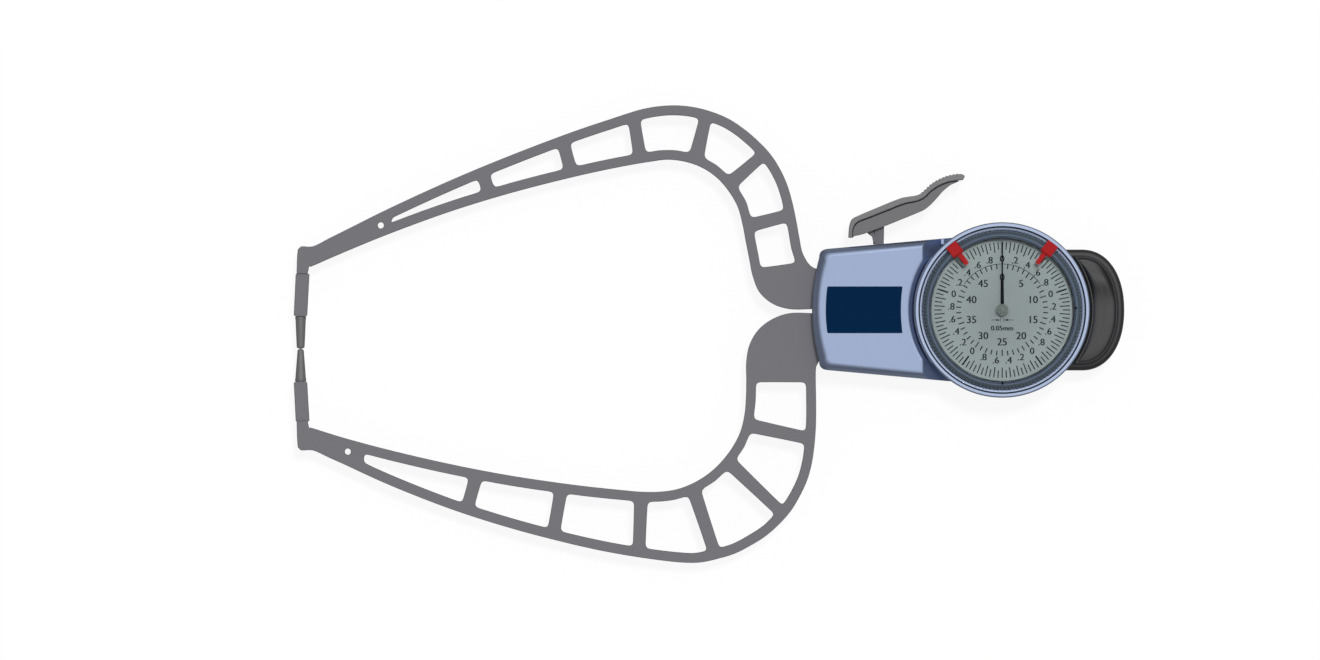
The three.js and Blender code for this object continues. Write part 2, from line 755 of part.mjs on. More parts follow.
function rearGrip() {
  const low = floorThickness + seatGap;
  const body = stacked([
    { z: low, points: gripPoints(gripFlangeInset / 2) },
    { z: low + gripEdge, points: gripPoints(0) },
    { z: gripHeight - gripEdge, points: gripPoints(0) },
    { z: gripHeight - gripEdge / 3, points: gripPoints(gripEdge / 3) },
    { z: gripHeight, points: gripPoints(gripEdge) },
  ]);
  const dish = stacked([
    { z: gripHeight - gripDish, points: gripPoints(gripRim * 2 + gripEdge) },
    { z: gripHeight + 1, points: gripPoints(gripRim + gripEdge - 1) },
  ]);
  const over = gripHeight + 2;
  const headRoom = cylinder(0, 0, headRadius + partGap, -1, over, roundFacets);
  const bezelRoomBehind = cylinder(0, 0, bezelRadius + partGap, bezelSkirtLevel - 1, over, roundFacets);
  const threadEnd = gripScrewEnd + 1.1;
  const holes = gripScrewPlaces.map(([x, y]) =>
    cylinder(x, y, screwRadius + seatGap, 0, threadEnd, holeFacets),
  );
  return cut(body, dish, headRoom, bezelRoomBehind, ...holes);
}

// Screws with slotted heads; the head lies below the shank when the sign is negative
function screw(x, y, headLevel, shankEnd, sign, slotAngle) {
  const spread = (a, b) => [Math.min(a, b), Math.max(a, b)];
  const headEnd = headLevel + sign * screwHeadHeight;
  const slot = solid(
    new THREE.BoxGeometry(screwHeadRadius * 3, screwSlotWidth, screwSlotDepth * 2)
      .rotateZ(slotAngle)
      .translate(x, y, headEnd),
  );
  const head = cylinder(x, y, screwHeadRadius, ...spread(headLevel, headEnd), bossFacets);
  const shank = cylinder(x, y, screwRadius, ...spread(headLevel, shankEnd), holeFacets);
  return cut(join(head, shank), slot);
}

function screwPieces(name, places, headLevel, shankEnd, sign) {
  return places.map(([x, y], i) =>
    piece(`${name}_${i + 1}`, screw(x, y, headLevel, shankEnd, sign, 0.4 + i), "steel"),
  );
}

// Arms

function samplesAlong(curve, from, to) {
  const length = curve.getLength();
  const steps = Math.max(2, Math.ceil(Math.abs(to - from) / edgeStep));
  const samples = [];
  for (let i = 0; i <= steps; i++) {
    const at = Math.min(1, (from + ((to - from) * i) / steps) / length);
    samples.push({ point: curve.getPointAt(at), tangent: curve.getTangentAt(at) });
  }
  return samples;
}

function offsetAlong(curve, from, to, distance) {
  return samplesAlong(curve, from, to).map(
    ({ point, tangent }) =>
      new THREE.Vector2(point.x - tangent.y * distance, point.y + tangent.x * distance),
  );
}

// An edge of an arm, with the stretch that places along it follow
function armEdge(points) {
  const curve = new THREE.SplineCurve(points.map(armPoint));
  const drawn = new THREE.SplineCurve(points.map(vector));
  return { curve, stretch: curve.getLength() / drawn.getLength() };
}

// The openings between the rails, one between each two ribs
function armWindows(outer, inner, ribs, windows, side) {
  const half = ribWidth / 2;
  const placed = ([a, b], by) => [a * outer.stretch + by, b * inner.stretch + by];
  const starts = [placed(windows.from, 0), ...ribs.map((rib) => placed(rib, half))];
  const ends = [...ribs.map((rib) => placed(rib, -half)), placed(windows.to, 0)];
  return starts.map(([outerFrom, innerFrom], i) => {
    const [outerTo, innerTo] = ends[i];
    const outline = [
      ...offsetAlong(outer.curve, outerFrom, outerTo, -side * railWidth),
      ...offsetAlong(inner.curve, innerTo, innerFrom, side * railWidth),
    ];
    const shape = new THREE.Shape(roundedCorners(counterClockwise(outline), windowCorner));
    return prism(shape, armBottom - 1, armTop + 1);
  });
}

const wholeEdge = ({ curve }) => samplesAlong(curve, 0, curve.getLength()).map((s) => s.point);

function armPlate(outline) {
  return prism(new THREE.Shape(counterClockwise(outline)), armBottom, armTop);
}

// Points of outlines that are measured from the pivot: an arm's stretch with its reach
const armPoint = ([x, y]) => new THREE.Vector2(pivot.x + x * armStretch, y);
const leverPoint = ([x, y]) => new THREE.Vector2(pivot.x + x, y);

// Outline of a tip: from the outer edge, round the end block and down the narrow neck
function tipPoints(cornerY, neckEndY, innerY) {
  const away = Math.sign(neckEndY - cornerY);
  const left = contactX - tipOffset;
  const tilted = left - neckTilt;
  return [
    new THREE.Vector2(left + tipCorner, cornerY),
    new THREE.Vector2(left, cornerY + away * tipCorner),
    new THREE.Vector2(tilted, neckEndY),
    new THREE.Vector2(tilted + neckWidth, neckEndY),
    new THREE.Vector2(left + neckWidth, innerY),
  ];
}

const upperSleeveEnd = -contactDrop + contactGap / 2 + pinLength;
const upperNeckEnd = upperSleeveEnd + sleeveLength + seatGap;
const lowerSleeveEnd = -contactDrop - contactGap / 2 - lowerPinLength;
const lowerNeckEnd = lowerSleeveEnd - lowerSleeveLength - seatGap;

function movingArm() {
  const outer = armEdge(upperOuterEdge);
  const inner = armEdge(upperInnerEdge);
  const hub = arcPoints(pivot, hubRadius, Math.PI, 2 * Math.PI - 0.43, 14);
  const tailEndX = pivot.x + tailReach;
  const outline = [
    ...wholeEdge(outer).reverse(),
    ...tipPoints(upperOuterEdge[0][1], upperNeckEnd, upperInnerEdge[0][1]),
    ...wholeEdge(inner),
    new THREE.Vector2(pivot.x - hubRadius - 0.2, upperMouthY),
    ...hub,
    new THREE.Vector2(tailEndX, tailLowY + tailRise),
    new THREE.Vector2(tailEndX, tailTopY),
    new THREE.Vector2(stemRightX + 1.5, tailTopY + 1.5),
    new THREE.Vector2(stemRightX, tailTopY + 3),
    new THREE.Vector2(stemRightX, stemTopY),
    new THREE.Vector2(stemLeftX, stemTopY),
    new THREE.Vector2(stemLeftX, tailTopY + 4.5),
    new THREE.Vector2(stemLeftX - 1.6, tailTopY + 2.9),
    new THREE.Vector2(pivot.x + 2.8, tailTopY + 4.1),
  ];
  const holes = [
    cylinder(...armPoint(upperTipHole), tipHoleRadius, armBottom - 1, armTop + 1, bossFacets),
    bore(pivot.x, pivot.y, bushRadius + seatGap, armBottom - 1, armTop + 1),
    ...sectorScrewPlaces.map(([x, y]) =>
      cylinder(pivot.x + x, pivot.y + y, screwRadius + seatGap, armTop - 4.5, armTop + 1, holeFacets),
    ),
    cylinder(leverPinX, leverPinY, leverPinRadius + seatGap, armBottom - 1, armTop + 1, 16),
  ];
  return cut(armPlate(outline), ...armWindows(outer, inner, upperRibs, upperWindows, 1), ...holes);
}

function fixedArm() {
  const outer = armEdge(lowerOuterEdge);
  const inner = armEdge(lowerInnerEdge);
  const room = hubRadius + hubClearance;
  const splitY = upperMouthY - armSplit;
  const firstAngle = Math.PI + Math.asin(-splitY / room);
  const outline = [
    ...wholeEdge(inner).reverse(),
    ...tipPoints(lowerOuterEdge[0][1], lowerNeckEnd, lowerInnerEdge[0][1]).reverse(),
    ...wholeEdge(outer),
    ...fixedArmRoot.map(([x, y]) => new THREE.Vector2(pivot.x + x, pivot.y + y)),
    ...arcPoints(pivot, room, Math.PI * 2 - 1.0, firstAngle, 12),
  ];
  const holes = [
    cylinder(...armPoint(lowerTipHole), tipHoleRadius, armBottom - 1, armTop + 1, bossFacets),
    ...armScrewPlaces.map(([x, y]) =>
      cylinder(x, y, screwRadius + partGap, armBottom - 1, armTop + 1, holeFacets),
    ),
  ];
  return cut(armPlate(outline), ...armWindows(outer, inner, lowerRibs, lowerWindows, -1), ...holes);
}

// Contacts: turned pieces on the axis of the tips, at mid thickness of the arms

function alongY(made, x, y) {
  return made.rotate([-90, 0, 0]).translate([x, y, armBottom + armThickness / 2]);
}

function contactSleeve(low, length) {
  const chamfer = 0.5;
  const profile = [
    [sleeveBore + seatGap, 0], [sleeveRadius - chamfer, 0], [sleeveRadius, chamfer],
    [sleeveRadius, length - chamfer], [sleeveRadius - chamfer, length], [sleeveBore + seatGap, length],
  ];
  return alongY(turned(profile, 24), contactX, low);
}

function fixedSleeve() {
  return contactSleeve(lowerSleeveEnd - lowerSleeveLength, lowerSleeveLength);
}

// The pin stands tip up, with its shank below the shoulder
function contactPin(baseRadius, tipRadius, length, shankLength) {
  const nose = 0.8;
  return turned(
    [
      [0, -shankLength], [sleeveBore, -shankLength], [sleeveBore, seatGap], [baseRadius, seatGap],
      [baseRadius, 1.2], [tipRadius, length - 1.8], [tipRadius * 0.9, length - nose],
      [tipRadius * 0.5, length - 0.2], [0, length],
    ],
    24,
  );
}

function movingContact() {
  const pin = contactPin(pinBaseRadius, pinTipRadius, pinLength, sleeveLength - 2);
  return alongY(pin.rotate([180, 0, 0]), contactX, upperSleeveEnd);
}

function fixedContact() {
  const pin = contactPin(lowerPinBaseRadius, lowerPinTipRadius, lowerPinLength, lowerSleeveLength - 2);
  return alongY(pin, contactX, lowerSleeveEnd);
}

// Lever

function leverPrism(points, inset = 0) {
  const middle = armBottom + armThickness / 2;
  const half = leverWidth / 2 - inset;
  return prism(new THREE.Shape(counterClockwise(points)), middle - half, middle + half);
}

function fingerLever() {
  const floor = leverUnderside.map(([x, y]) => leverPoint([x, y + leverFloorLift]));
  const split = leverSplit.map(leverPoint);
  const outline = [...split, ...floor];
  const socket = box(
    [stemLeftX - seatGap, neckTopLeftY, armBottom - seatGap],
    [stemRightX + seatGap, stemTopY + seatGap, armTop + seatGap],
  );
  const pinHole = cylinder(leverPinX, leverPinY, leverPinRadius + seatGap, -5, 30, 16);
  return cut(leverPrism(outline, leverSideInset), socket, pinHole);
}

function leverPad() {
  const split = leverSplit.map(([x, y]) => leverPoint([x, y + seatGap]));
  const end = leverThumbEnd.map(leverPoint);
  const outline = [...leverTop.map(leverPoint), ...end, ...split.reverse()];
  return leverPrism(outline);
}

function leverPin() {
  const middle = armBottom + armThickness / 2;
  const half = leverWidth / 2 - leverSideInset - 0.2;
  return cylinder(leverPinX, leverPinY, leverPinRadius, middle - half, middle + half, 16);
}

// Pivot

function pivotShaft() {
  const top = neckHeight - floorThickness - partGap;
  return cylinder(pivot.x, pivot.y, pivotRadius, floorThickness + seatGap, top, boreFacets);
}

function ring(x, y, outerRadius, innerRadius, low, high, facets = boreFacets) {
  return cut(
    cylinder(x, y, outerRadius, low, high, facets),
    bore(x, y, innerRadius, low - 1, high + 1, facets),
  );
}

function pivotBush() {
  return ring(pivot.x, pivot.y, bushRadius, pivotRadius + shaftClearance, armBottom, armTop);
}

function pivotWasher(low) {
  const inner = pivotRadius + shaftClearance * 2;
  return ring(pivot.x, pivot.y, washerRadius, inner, low, low + washerThickness);
}

// Where the stop pin meets the tail's lower edge at full opening
function stopPinPlace() {
  const slope = tailRise / (tailReach - hubRadius);
  const below = tailLowY - stopPinRadius - partGap + (stopPinReach - hubRadius) * slope;
  return new THREE.Vector2(stopPinReach, below).rotateAround(new THREE.Vector2(), -openAngle).add(pivot);
}

function stopPin() {
  const place = stopPinPlace();
  return cylinder(place.x, place.y, stopPinRadius, floorThickness - 0.9, armTop - 1, bossFacets);
}

// The return spring lies round the rear pivot boss, with one leg on its post and one on the arm
function springPostPlace() {
  return vector(springPostOffset).add(pivot);
}

class Helix extends THREE.Curve {
  constructor(radius, low, pitch, turns) {
    super();
    Object.assign(this, { radius, low, pitch, turns });
  }

  getPoint(t, target = new THREE.Vector3()) {
    const angle = -Math.PI / 2 + t * this.turns * 2 * Math.PI;
    const z = this.low + t * this.turns * this.pitch;
    return target.set(
      pivot.x + this.radius * Math.cos(angle),
      pivot.y + this.radius * Math.sin(angle),
      z,
    );
  }
}

function wireSection(radius, sides) {
  const lastAngle = 2 * Math.PI * (1 - 1 / sides);
  return new THREE.Shape(arcPoints(new THREE.Vector2(), radius, 0, lastAngle, sides - 1));
}

function returnSpring() {
  const low = floorThickness + springWireRadius + partGap;
  const coil = new THREE.ExtrudeGeometry(wireSection(springWireRadius, springSides), {
    steps: Math.round(springTurns * springStepsPerTurn),
    extrudePath: new Helix(springRadius, low, springPitch, springTurns),
    bevelEnabled: false,
  });
  const legEnd = new THREE.Vector3(pivot.x - springLegLength, pivot.y - springRadius, low);
  const legStart = new THREE.Vector3(pivot.x + 0.5, pivot.y - springRadius, low);
  const leg = new THREE.ExtrudeGeometry(wireSection(springWireRadius, springSides), {
    steps: 1,
    extrudePath: new THREE.LineCurve3(legEnd, legStart),
    bevelEnabled: false,
  });
  return join(solid(coil), solid(leg));
}

// Gears: straight-flanked teeth, thinner than half a pitch so that the train runs with backlash

function toothPoints(centre, rootRadius, tipRadius, middle, pitchAngle, pointed = false) {
  const rootHalf = pitchAngle * 0.29;
  const tipHalf = pitchAngle * 0.12;
  if (pointed) {
    return [
      polar(rootRadius, middle - rootHalf, centre),
      polar(tipRadius, middle, centre),
      polar(rootRadius, middle + rootHalf, centre),
    ];
  }
  return [
    polar(rootRadius, middle - rootHalf, centre),
    polar(tipRadius, middle - tipHalf, centre),
    polar(tipRadius, middle + tipHalf, centre),
    polar(rootRadius, middle + rootHalf, centre),
  ];
}

function gearSizes(teeth, module) {
  const pitchRadius = (teeth * module) / 2;
  return {
    pitchAngle: (2 * Math.PI) / teeth,
    rootRadius: pitchRadius - 1.0 * module,
    tipRadius: pitchRadius + 0.75 * module,
  };
}

function gear(centre, teeth, module, firstTooth, low, high) {
  const { pitchAngle, rootRadius, tipRadius } = gearSizes(teeth, module);
  const outline = [];
  for (let i = 0; i < teeth; i++) {
    const middle = firstTooth + i * pitchAngle;
    outline.push(...toothPoints(centre, rootRadius, tipRadius, middle, pitchAngle, teeth > crowdedTeeth));
  }
  return prism(new THREE.Shape(outline), low, high);
}

// A hole through everything above it and below it
function throughBore(place, radius, facets = bossFacets) {
  return bore(place.x, place.y, radius, -1, bezelTop, facets);
}

// A tooth space of a driven pinion faces its driver when the driver's tooth points at it
const facingGap = (teeth) => Math.PI + Math.PI / teeth;

function sectorGear() {
  const { pitchAngle, rootRadius, tipRadius } = gearSizes(sectorTeeth, firstModule);
  const spare = 2;
  const swept = Math.ceil(openAngle / pitchAngle);
  const outline = [];
  for (let i = -spare; i <= swept + spare; i++) {
    outline.push(...toothPoints(pivot, rootRadius, tipRadius, i * pitchAngle, pitchAngle));
  }
  const from = -(spare + 0.5) * pitchAngle;
  const to = (swept + spare + 0.5) * pitchAngle;
  const back = arcPoints(pivot, sectorInnerRadius, to, from, 8);
  const start = polar(rootRadius, from, pivot);
  const end = polar(rootRadius, to, pivot);
  const shape = new THREE.Shape([start, ...outline, end, ...back]);
  const holes = sectorScrewPlaces.map(([x, y]) =>
    cylinder(pivot.x + x, pivot.y + y, screwRadius + seatGap, 0, bezelTop, holeFacets),
  );
  return cut(prism(shape, sectorLevel, sectorLevel + sectorThickness), ...holes);
}

function firstArbor() {
  const low = rearPlateLevel + seatGap;
  const shoulder = rearPlateLevel + movementPlateThickness + seatGap;
  const upper = frontPlateLevel - seatGap;
  const top = frontPlateLevel + movementPlateThickness - seatGap;
  return turned(
    [
      [0, low], [arborPivotRadius, low], [arborPivotRadius, shoulder], [arborRadius, shoulder],
      [arborRadius, upper], [arborPivotRadius, upper], [arborPivotRadius, top], [0, top],
    ],
    20, arbor.x, arbor.y,
  );
}

function firstPinion() {
  const top = pinionLevel + pinionFaceWidth;
  const made = gear(arbor, firstPinionTeeth, firstModule, facingGap(firstPinionTeeth), pinionLevel, top);
  return cut(made, throughBore(arbor, arborRadius + pressGap));
}

function arborWheel(teeth, module, low) {
  const made = join(
    gear(arbor, teeth, module, 0, low, low + wheelThickness),
    cylinder(arbor.x, arbor.y, wheelCollarRadius, low, low + wheelThickness + wheelCollarHeight, bossFacets),
  );
  return cut(made, throughBore(arbor, arborRadius + pressGap));
}

function firstWheel() {
  const { rootRadius } = gearSizes(firstWheelTeeth, secondModule);
  const circle = (rootRadius + wheelCollarRadius) / 2;
  const windowRadius = (rootRadius - wheelCollarRadius) / 2 - wheelRimWidth;
  const windows = [];
  for (let i = 0; i < wheelWindows; i++) {
    const place = polar(circle, ((i + 0.25) * 2 * Math.PI) / wheelWindows, arbor);
    windows.push(throughBore(place, windowRadius, 10));
  }
  return cut(arborWheel(firstWheelTeeth, secondModule, wheelLevel), ...windows);
}

function centrePinionArbor() {
  const low = rearPlateLevel + seatGap;
  const shoulder = rearPlateLevel + movementPlateThickness + seatGap;
  const pinionLow = wheelLevel - (pinionFaceWidth - wheelThickness) / 2;
  const top = longHandLevel + handPostReach;
  const shaft = turned(
    [
      [0, low], [centrePivotRadius, low], [centrePivotRadius, shoulder],
      [centreArborRadius, shoulder], [centreArborRadius, centreShoulderLevel],
      [handPostRadius, centreShoulderLevel], [handPostRadius, top], [0, top],
    ],
    20,
  );
  const pinion = gear(
    new THREE.Vector2(), centrePinionTeeth, secondModule, facingGap(centrePinionTeeth),
    pinionLow, pinionLow + pinionFaceWidth,
  );
  return join(shaft, pinion);
}

function shortHandPipe() {
  const top = shortHandLevel + handThickness + seatGap * 2;
  return ring(0, 0, pipeRadius, pipeBore, pipeLevel, top, 20);
}

function shortHandWheel() {
  const centre = new THREE.Vector2();
  const top = counterLevel + wheelThickness;
  const made = gear(centre, shortWheelTeeth, counterModule, facingGap(shortWheelTeeth), counterLevel, top);
  return cut(made, throughBore(centre, pipeRadius + pressGap));
}

function plateHoles(radiusAtArbor, radiusAtCentre) {
  return [
    throughBore(arbor, radiusAtArbor),
    throughBore(new THREE.Vector2(), radiusAtCentre),
    ...pillarPlaces().map(([x, y]) => cylinder(x, y, pillarStudRadius + seatGap, 0, bezelTop, holeFacets)),
  ];
}

function pillarPlaces() {
  return pillarAngles.map((angle) => polar(pillarCircle, radians(angle)).toArray());
}

function movementPlate(low, arborHole, centreHole) {
  const disc = cylinder(0, 0, plateRadius, low, low + movementPlateThickness, 48);
  return cut(disc, ...plateHoles(arborHole, centreHole));
}

// The rear plate also carries the stud that holds the outer end of the hair spring
function rearMovementPlate() {
  const top = rearPlateLevel + movementPlateThickness;
  const stud = cylinder(arbor.x + hairStudReach, arbor.y, hairStudRadius, top - 0.5, top + 1.2, 10);
  const arborHole = arborPivotRadius + shaftClearance;
  return join(movementPlate(rearPlateLevel, arborHole, centrePivotRadius + shaftClearance), stud);
}

function frontMovementPlate() {
  const arborHole = arborPivotRadius + shaftClearance;
  return movementPlate(frontPlateLevel, arborHole, pipeRadius + shaftClearance);
}

function platePillar([x, y]) {
  const low = rearPlateLevel + movementPlateThickness;
  const post = cylinder(x, y, pillarRadius, low, frontPlateLevel, bossFacets);
  const stud = cylinder(x, y, pillarStudRadius, pillarStudLow, low, holeFacets);
  const threadRadius = movementScrewRadius + seatGap;
  const thread = cylinder(x, y, threadRadius, frontPlateLevel - 4, frontPlateLevel + 1, holeFacets);
  return cut(join(post, stud), thread);
}

function movementScrew([x, y]) {
  const under = frontPlateLevel + movementPlateThickness;
  const head = cylinder(x, y, movementHeadRadius, under, under + movementHeadHeight, bossFacets);
  const shank = cylinder(x, y, movementScrewRadius, frontPlateLevel - 3.5, under, holeFacets);
  return join(head, shank);
}

// A flat spiral band round the first arbor, from the arbor to its stud on the rear plate
function hairSpring() {
  const from = arborRadius + shaftClearance;
  const growth = hairOuterRadius - from;
  const steps = hairTurns * hairStepsPerTurn;
  const inner = [];
  const outer = [];
  for (let i = 0; i <= steps; i++) {
    const angle = (i / hairStepsPerTurn) * 2 * Math.PI;
    const radius = from + (growth * i) / steps;
    inner.push(polar(radius, angle, arbor));
    outer.push(polar(radius + hairBand, angle, arbor));
  }
  const low = rearPlateLevel + movementPlateThickness + sectorGap * 2;
  return prism(new THREE.Shape([...outer, ...inner.reverse()]), low, low + hairHeight);
}

// Hands

function handOutline(length, tailLength, [baseWidth, tipWidth], hubSize) {
  const angle = Math.asin(baseWidth / 2 / hubSize);
  return [
    ...arcPoints(new THREE.Vector2(), hubSize, Math.PI / 2 + angle, Math.PI * 1.5 - angle, 8),
    new THREE.Vector2(-baseWidth / 2, -tailLength),
    new THREE.Vector2(baseWidth / 2, -tailLength),
    ...arcPoints(new THREE.Vector2(), hubSize, Math.PI * 1.5 + angle, Math.PI * 2.5 - angle, 8),
    new THREE.Vector2(tipWidth / 2, length),
    new THREE.Vector2(-tipWidth / 2, length),
  ];
}

function hand(outline, low, holeRadius) {
  const made = prism(new THREE.Shape(outline), low, low + handThickness);
  return cut(made, bore(0, 0, holeRadius, low - 1, low + 2, 20));
}

function longHand() {
  const outline = handOutline(longHandLength, longHandTail, longHandWidths, longHandHub);
  return hand(outline, longHandLevel, handPostRadius + pressGap);
}

function shortHand() {
  const outline = handOutline(shortHandLength, shortHandTail, shortHandWidths, shortHandHub);
  return hand(outline, shortHandLevel, pipeRadius + pressGap);
}

function handCap() {
  const low = longHandLevel + handThickness + pressGap;
  const top = longHandLevel + handThickness + handPostReach;
  const hole = handPostRadius + pressGap;
  return turned(
    [[hole, low], [capRadius, low], [capRadius, low + 0.35], [capRadius - 0.3, top], [hole, top]],
    20,
  );
}

// Dial, lens and bezel

function dialPlate() {
  return ring(0, 0, dialRadius, dialHole, dialLevel, dialLevel + dialThickness, roundFacets);
}

function slipRing() {
  const low = headHeight + slipGap;
  return ring(0, 0, slipOuterRadius, slipInnerRadius, low, low + slipThickness, roundFacets);
}

function bezelRing() {
  const bottom = headHeight + slipThickness + slipGap * 3;
  const skirt = headRadius + partGap;
  const under = dialLevel - slipGap;
  const over = dialLevel + dialThickness + seatGap * 2;
  const grooveFloor = knurlLevel + partGap;
  const ringTop = knurlLevel + innerRingHeight;
  const ringInner = knurlOuterRadius + seatGap;
  const ringOuter = ringInner + innerRingWidth;
  const rimInner = bezelRadius - 0.5 - rimWidth / 2;
  return turned(
    [
      [dialLedgeRadius, bottom], [skirt, bottom], [skirt, bezelSkirtLevel],
      [bezelRadius, bezelSkirtLevel], [bezelRadius, rimTop - 0.6], [bezelRadius - 0.5, rimTop],
      [rimInner, rimTop], [rimInner - 0.3, grooveFloor], [ringOuter, grooveFloor],
      [ringOuter, ringTop], [ringInner, ringTop], [ringInner, over],
      [dialRadius + seatGap * 2, over], [dialRadius + seatGap * 2, under], [dialLedgeRadius, under],
    ],
    roundFacets,
  );
}

function knurledRing() {
  const ringOf = (radius, depth) => {
    const points = [];
    for (let i = 0; i < knurlFlutes * 2; i++) {
      points.push(polar(i % 2 ? radius : radius - depth, (i * Math.PI) / knurlFlutes));
    }
    return points;
  };
  const made = stacked([
    { z: knurlLevel, points: ringOf(knurlOuterRadius, knurlDepth) },
    { z: knurlLevel + 0.9, points: ringOf(knurlOuterRadius, knurlDepth) },
    { z: bezelTop - seatGap, points: ringOf(knurlInnerRadius, knurlDepth) },
  ]);
  const under = knurlLevel - 1;
  const seat = lensLevel - lensSealHeight - seatGap;
  const wall = lensRadius + lensFit;
  const inside = turned(
    [
      [0, under], [sealInnerRadius - seatGap, under], [sealInnerRadius - seatGap, seat],
      [wall, seat], [wall, bezelTop + 1], [0, bezelTop + 1],
    ],
    roundFacets,
  );
  return cut(made, inside);
}

function lensSeal() {
  const top = lensLevel - slipGap;
  return ring(0, 0, lensRadius, sealInnerRadius, lensLevel - lensSealHeight, top, roundFacets);
}

function lens() {
  const top = lensLevel + lensThickness;
  const flange = lensLevel + lensFlange;
  return turned(
    [
      [0, lensLevel], [lensRadius, lensLevel], [lensRadius, flange],
      [lensVisibleRadius - 0.2, flange], [lensVisibleRadius - 0.4, top - 0.1], [0, top],
    ],
    roundFacets,
  );
}

function lensRing() {
  const low = lensLevel + lensFlange + slipGap;
  return turned(
    [
      [lensVisibleRadius, low], [lensRadius, low], [lensRadius, bezelTop],
      [lensRadius - 0.3, bezelTop], [lensVisibleRadius, low + 0.8],
    ],
    roundFacets,
  );
}

// A clip on the bezel rim with a pointer that reaches over the lens
function marker(angle) {
  const half = markerWidth / 2;
  const outline = [
    new THREE.Vector2(markerInnerRadius, -half),
    new THREE.Vector2(markerOuterRadius, -half),
    new THREE.Vector2(markerOuterRadius, half),
    new THREE.Vector2(markerInnerRadius, half),
    new THREE.Vector2(markerPointerRadius + 0.6, markerPointerWidth / 2),
    new THREE.Vector2(markerPointerRadius, 0),
    new THREE.Vector2(markerPointerRadius + 0.6, -markerPointerWidth / 2),
  ];
  const plate = prism(new THREE.Shape(outline), bezelTop + seatGap, bezelTop + markerTop);
  const hook = box(
    [markerOuterRadius - markerHookWidth, -half, rimTop + 0.15],
    [markerOuterRadius, half, bezelTop + 0.5],
  );
  return join(plate, hook).rotate([0, 0, angle]);
}

// The scene graph

const shades = {
  housing: [0x8f9dbb, 0.42, 0.55],
  darkHousing: [0x565e71, 0.5, 0.4],
  armMetal: [0x747378, 0.5, 0.6],
  contactMetal: [0x8a8a8c, 0.3, 0.9],
  blackPlastic: [0x2a2b2e, 0.55, 0],
  plateBlue: [0x092844, 0.4, 0.2],
  leverGrey: [0x8e8e90, 0.5, 0.1],
  steel: [0x9a9ca0, 0.3, 0.9],
  brass: [0xb6975a, 0.35, 0.9],
  bronze: [0xa07a50, 0.45, 0.8],
  rubber: [0x1c1d1f, 0.8, 0],
  dialFace: [0x9ba7a7, 0.6, 0],
  handBlack: [0x0c0d0e, 0.4, 0.2],
  knurlMetal: [0x444f62, 0.4, 0.7],
  ringMetal: [0x67738d, 0.35, 0.8],
  glass: [0xe8eef0, 0.05, 0],
  markerRed: [0xb02a30, 0.45, 0],
};

function piece(name, made, shade) {
  const [color, roughness, metalness] = shades[shade];
  const material = new THREE.MeshStandardMaterial({ color, roughness, metalness });
  if (shade === "glass") {
    material.transparent = true;
    material.opacity = 0.35;
  }
  const mesh = new THREE.Mesh(geometryOf(made), material);
  mesh.name = name;
  return mesh;
}

function group(...pieces) {
  const made = new THREE.Group();
  made.add(...pieces);
  return made;
}

const housing = group(
  piece("rear_shell", rearShell(), "housing"),
  piece("shell_gasket", shellGasket(), "rubber"),
  piece("front_shell", frontShell(), "housing"),
  piece("rear_grip", rearGrip(), "blackPlastic"),
  piece("name_plate", namePlate(), "plateBlue"),
  ...screwPieces("neck_screw", neckScrewPlaces, screwHeadHeight + seatGap / 2, neckHeight - 7, -1),
  ...screwPieces("head_screw", headScrewPlaces, screwHeadHeight + seatGap / 2, headHeight - 6, -1),
  ...screwPieces("grip_screw", gripScrewPlaces, screwHeadHeight + seatGap / 2, gripScrewEnd, -1),
  piece("bezel_slip_ring", slipRing(), "blackPlastic"),
);

const fixedSide = group(
  piece("fixed_arm", fixedArm(), "armMetal"),
  ...screwPieces("fixed_arm_screw", armScrewPlaces, armTop + seatGap, armBottom - 4, 1),
  piece("fixed_contact_sleeve", fixedSleeve(), "armMetal"),
  piece("fixed_contact", fixedContact(), "contactMetal"),
  piece("pivot_shaft", pivotShaft(), "steel"),
  piece("rear_washer", pivotWasher(armBottom - washerThickness - seatGap), "bronze"),
  piece("front_washer", pivotWasher(armTop + seatGap), "bronze"),
  piece("stop_pin", stopPin(), "steel"),
  piece("return_spring", returnSpring(), "steel"),
);

const movement = group(
  piece("rear_movement_plate", rearMovementPlate(), "brass"),
  piece("front_movement_plate", frontMovementPlate(), "brass"),
  ...pillarPlaces().map((place, i) => piece(`plate_pillar_${i + 1}`, platePillar(place), "brass")),
  ...pillarPlaces().map((place, i) => piece(`movement_screw_${i + 1}`, movementScrew(place), "steel")),
  piece("hair_spring", hairSpring(), "steel"),
);

const movingSide = group(
  piece("moving_arm", movingArm(), "armMetal"),
  piece("moving_contact_sleeve", contactSleeve(upperSleeveEnd, sleeveLength), "armMetal"),
  piece("moving_contact", movingContact(), "contactMetal"),
  piece("pivot_bush", pivotBush(), "bronze"),
  piece("sector_gear", sectorGear(), "brass"),
  ...screwPieces(
    "sector_screw",
    sectorScrewPlaces.map(([x, y]) => [pivot.x + x, pivot.y + y]),
    sectorLevel + sectorThickness,
    armTop - 4,
    1,
  ),
  piece("finger_lever", fingerLever(), "leverGrey"),
  piece("lever_pad", leverPad(), "leverGrey"),
  piece("lever_pin", leverPin(), "steel"),
);

const firstArborGroup = group(
  piece("first_arbor", firstArbor(), "steel"),
  piece("first_pinion", firstPinion(), "steel"),
  piece("first_wheel", firstWheel(), "brass"),
  piece("counter_wheel", arborWheel(counterWheelTeeth, counterModule, counterLevel), "brass"),
);

const shortHandGroup = group(
  piece("short_hand_pipe", shortHandPipe(), "brass"),
  piece("short_hand_wheel", shortHandWheel(), "brass"),
  piece("short_hand", shortHand(), "handBlack"),
);

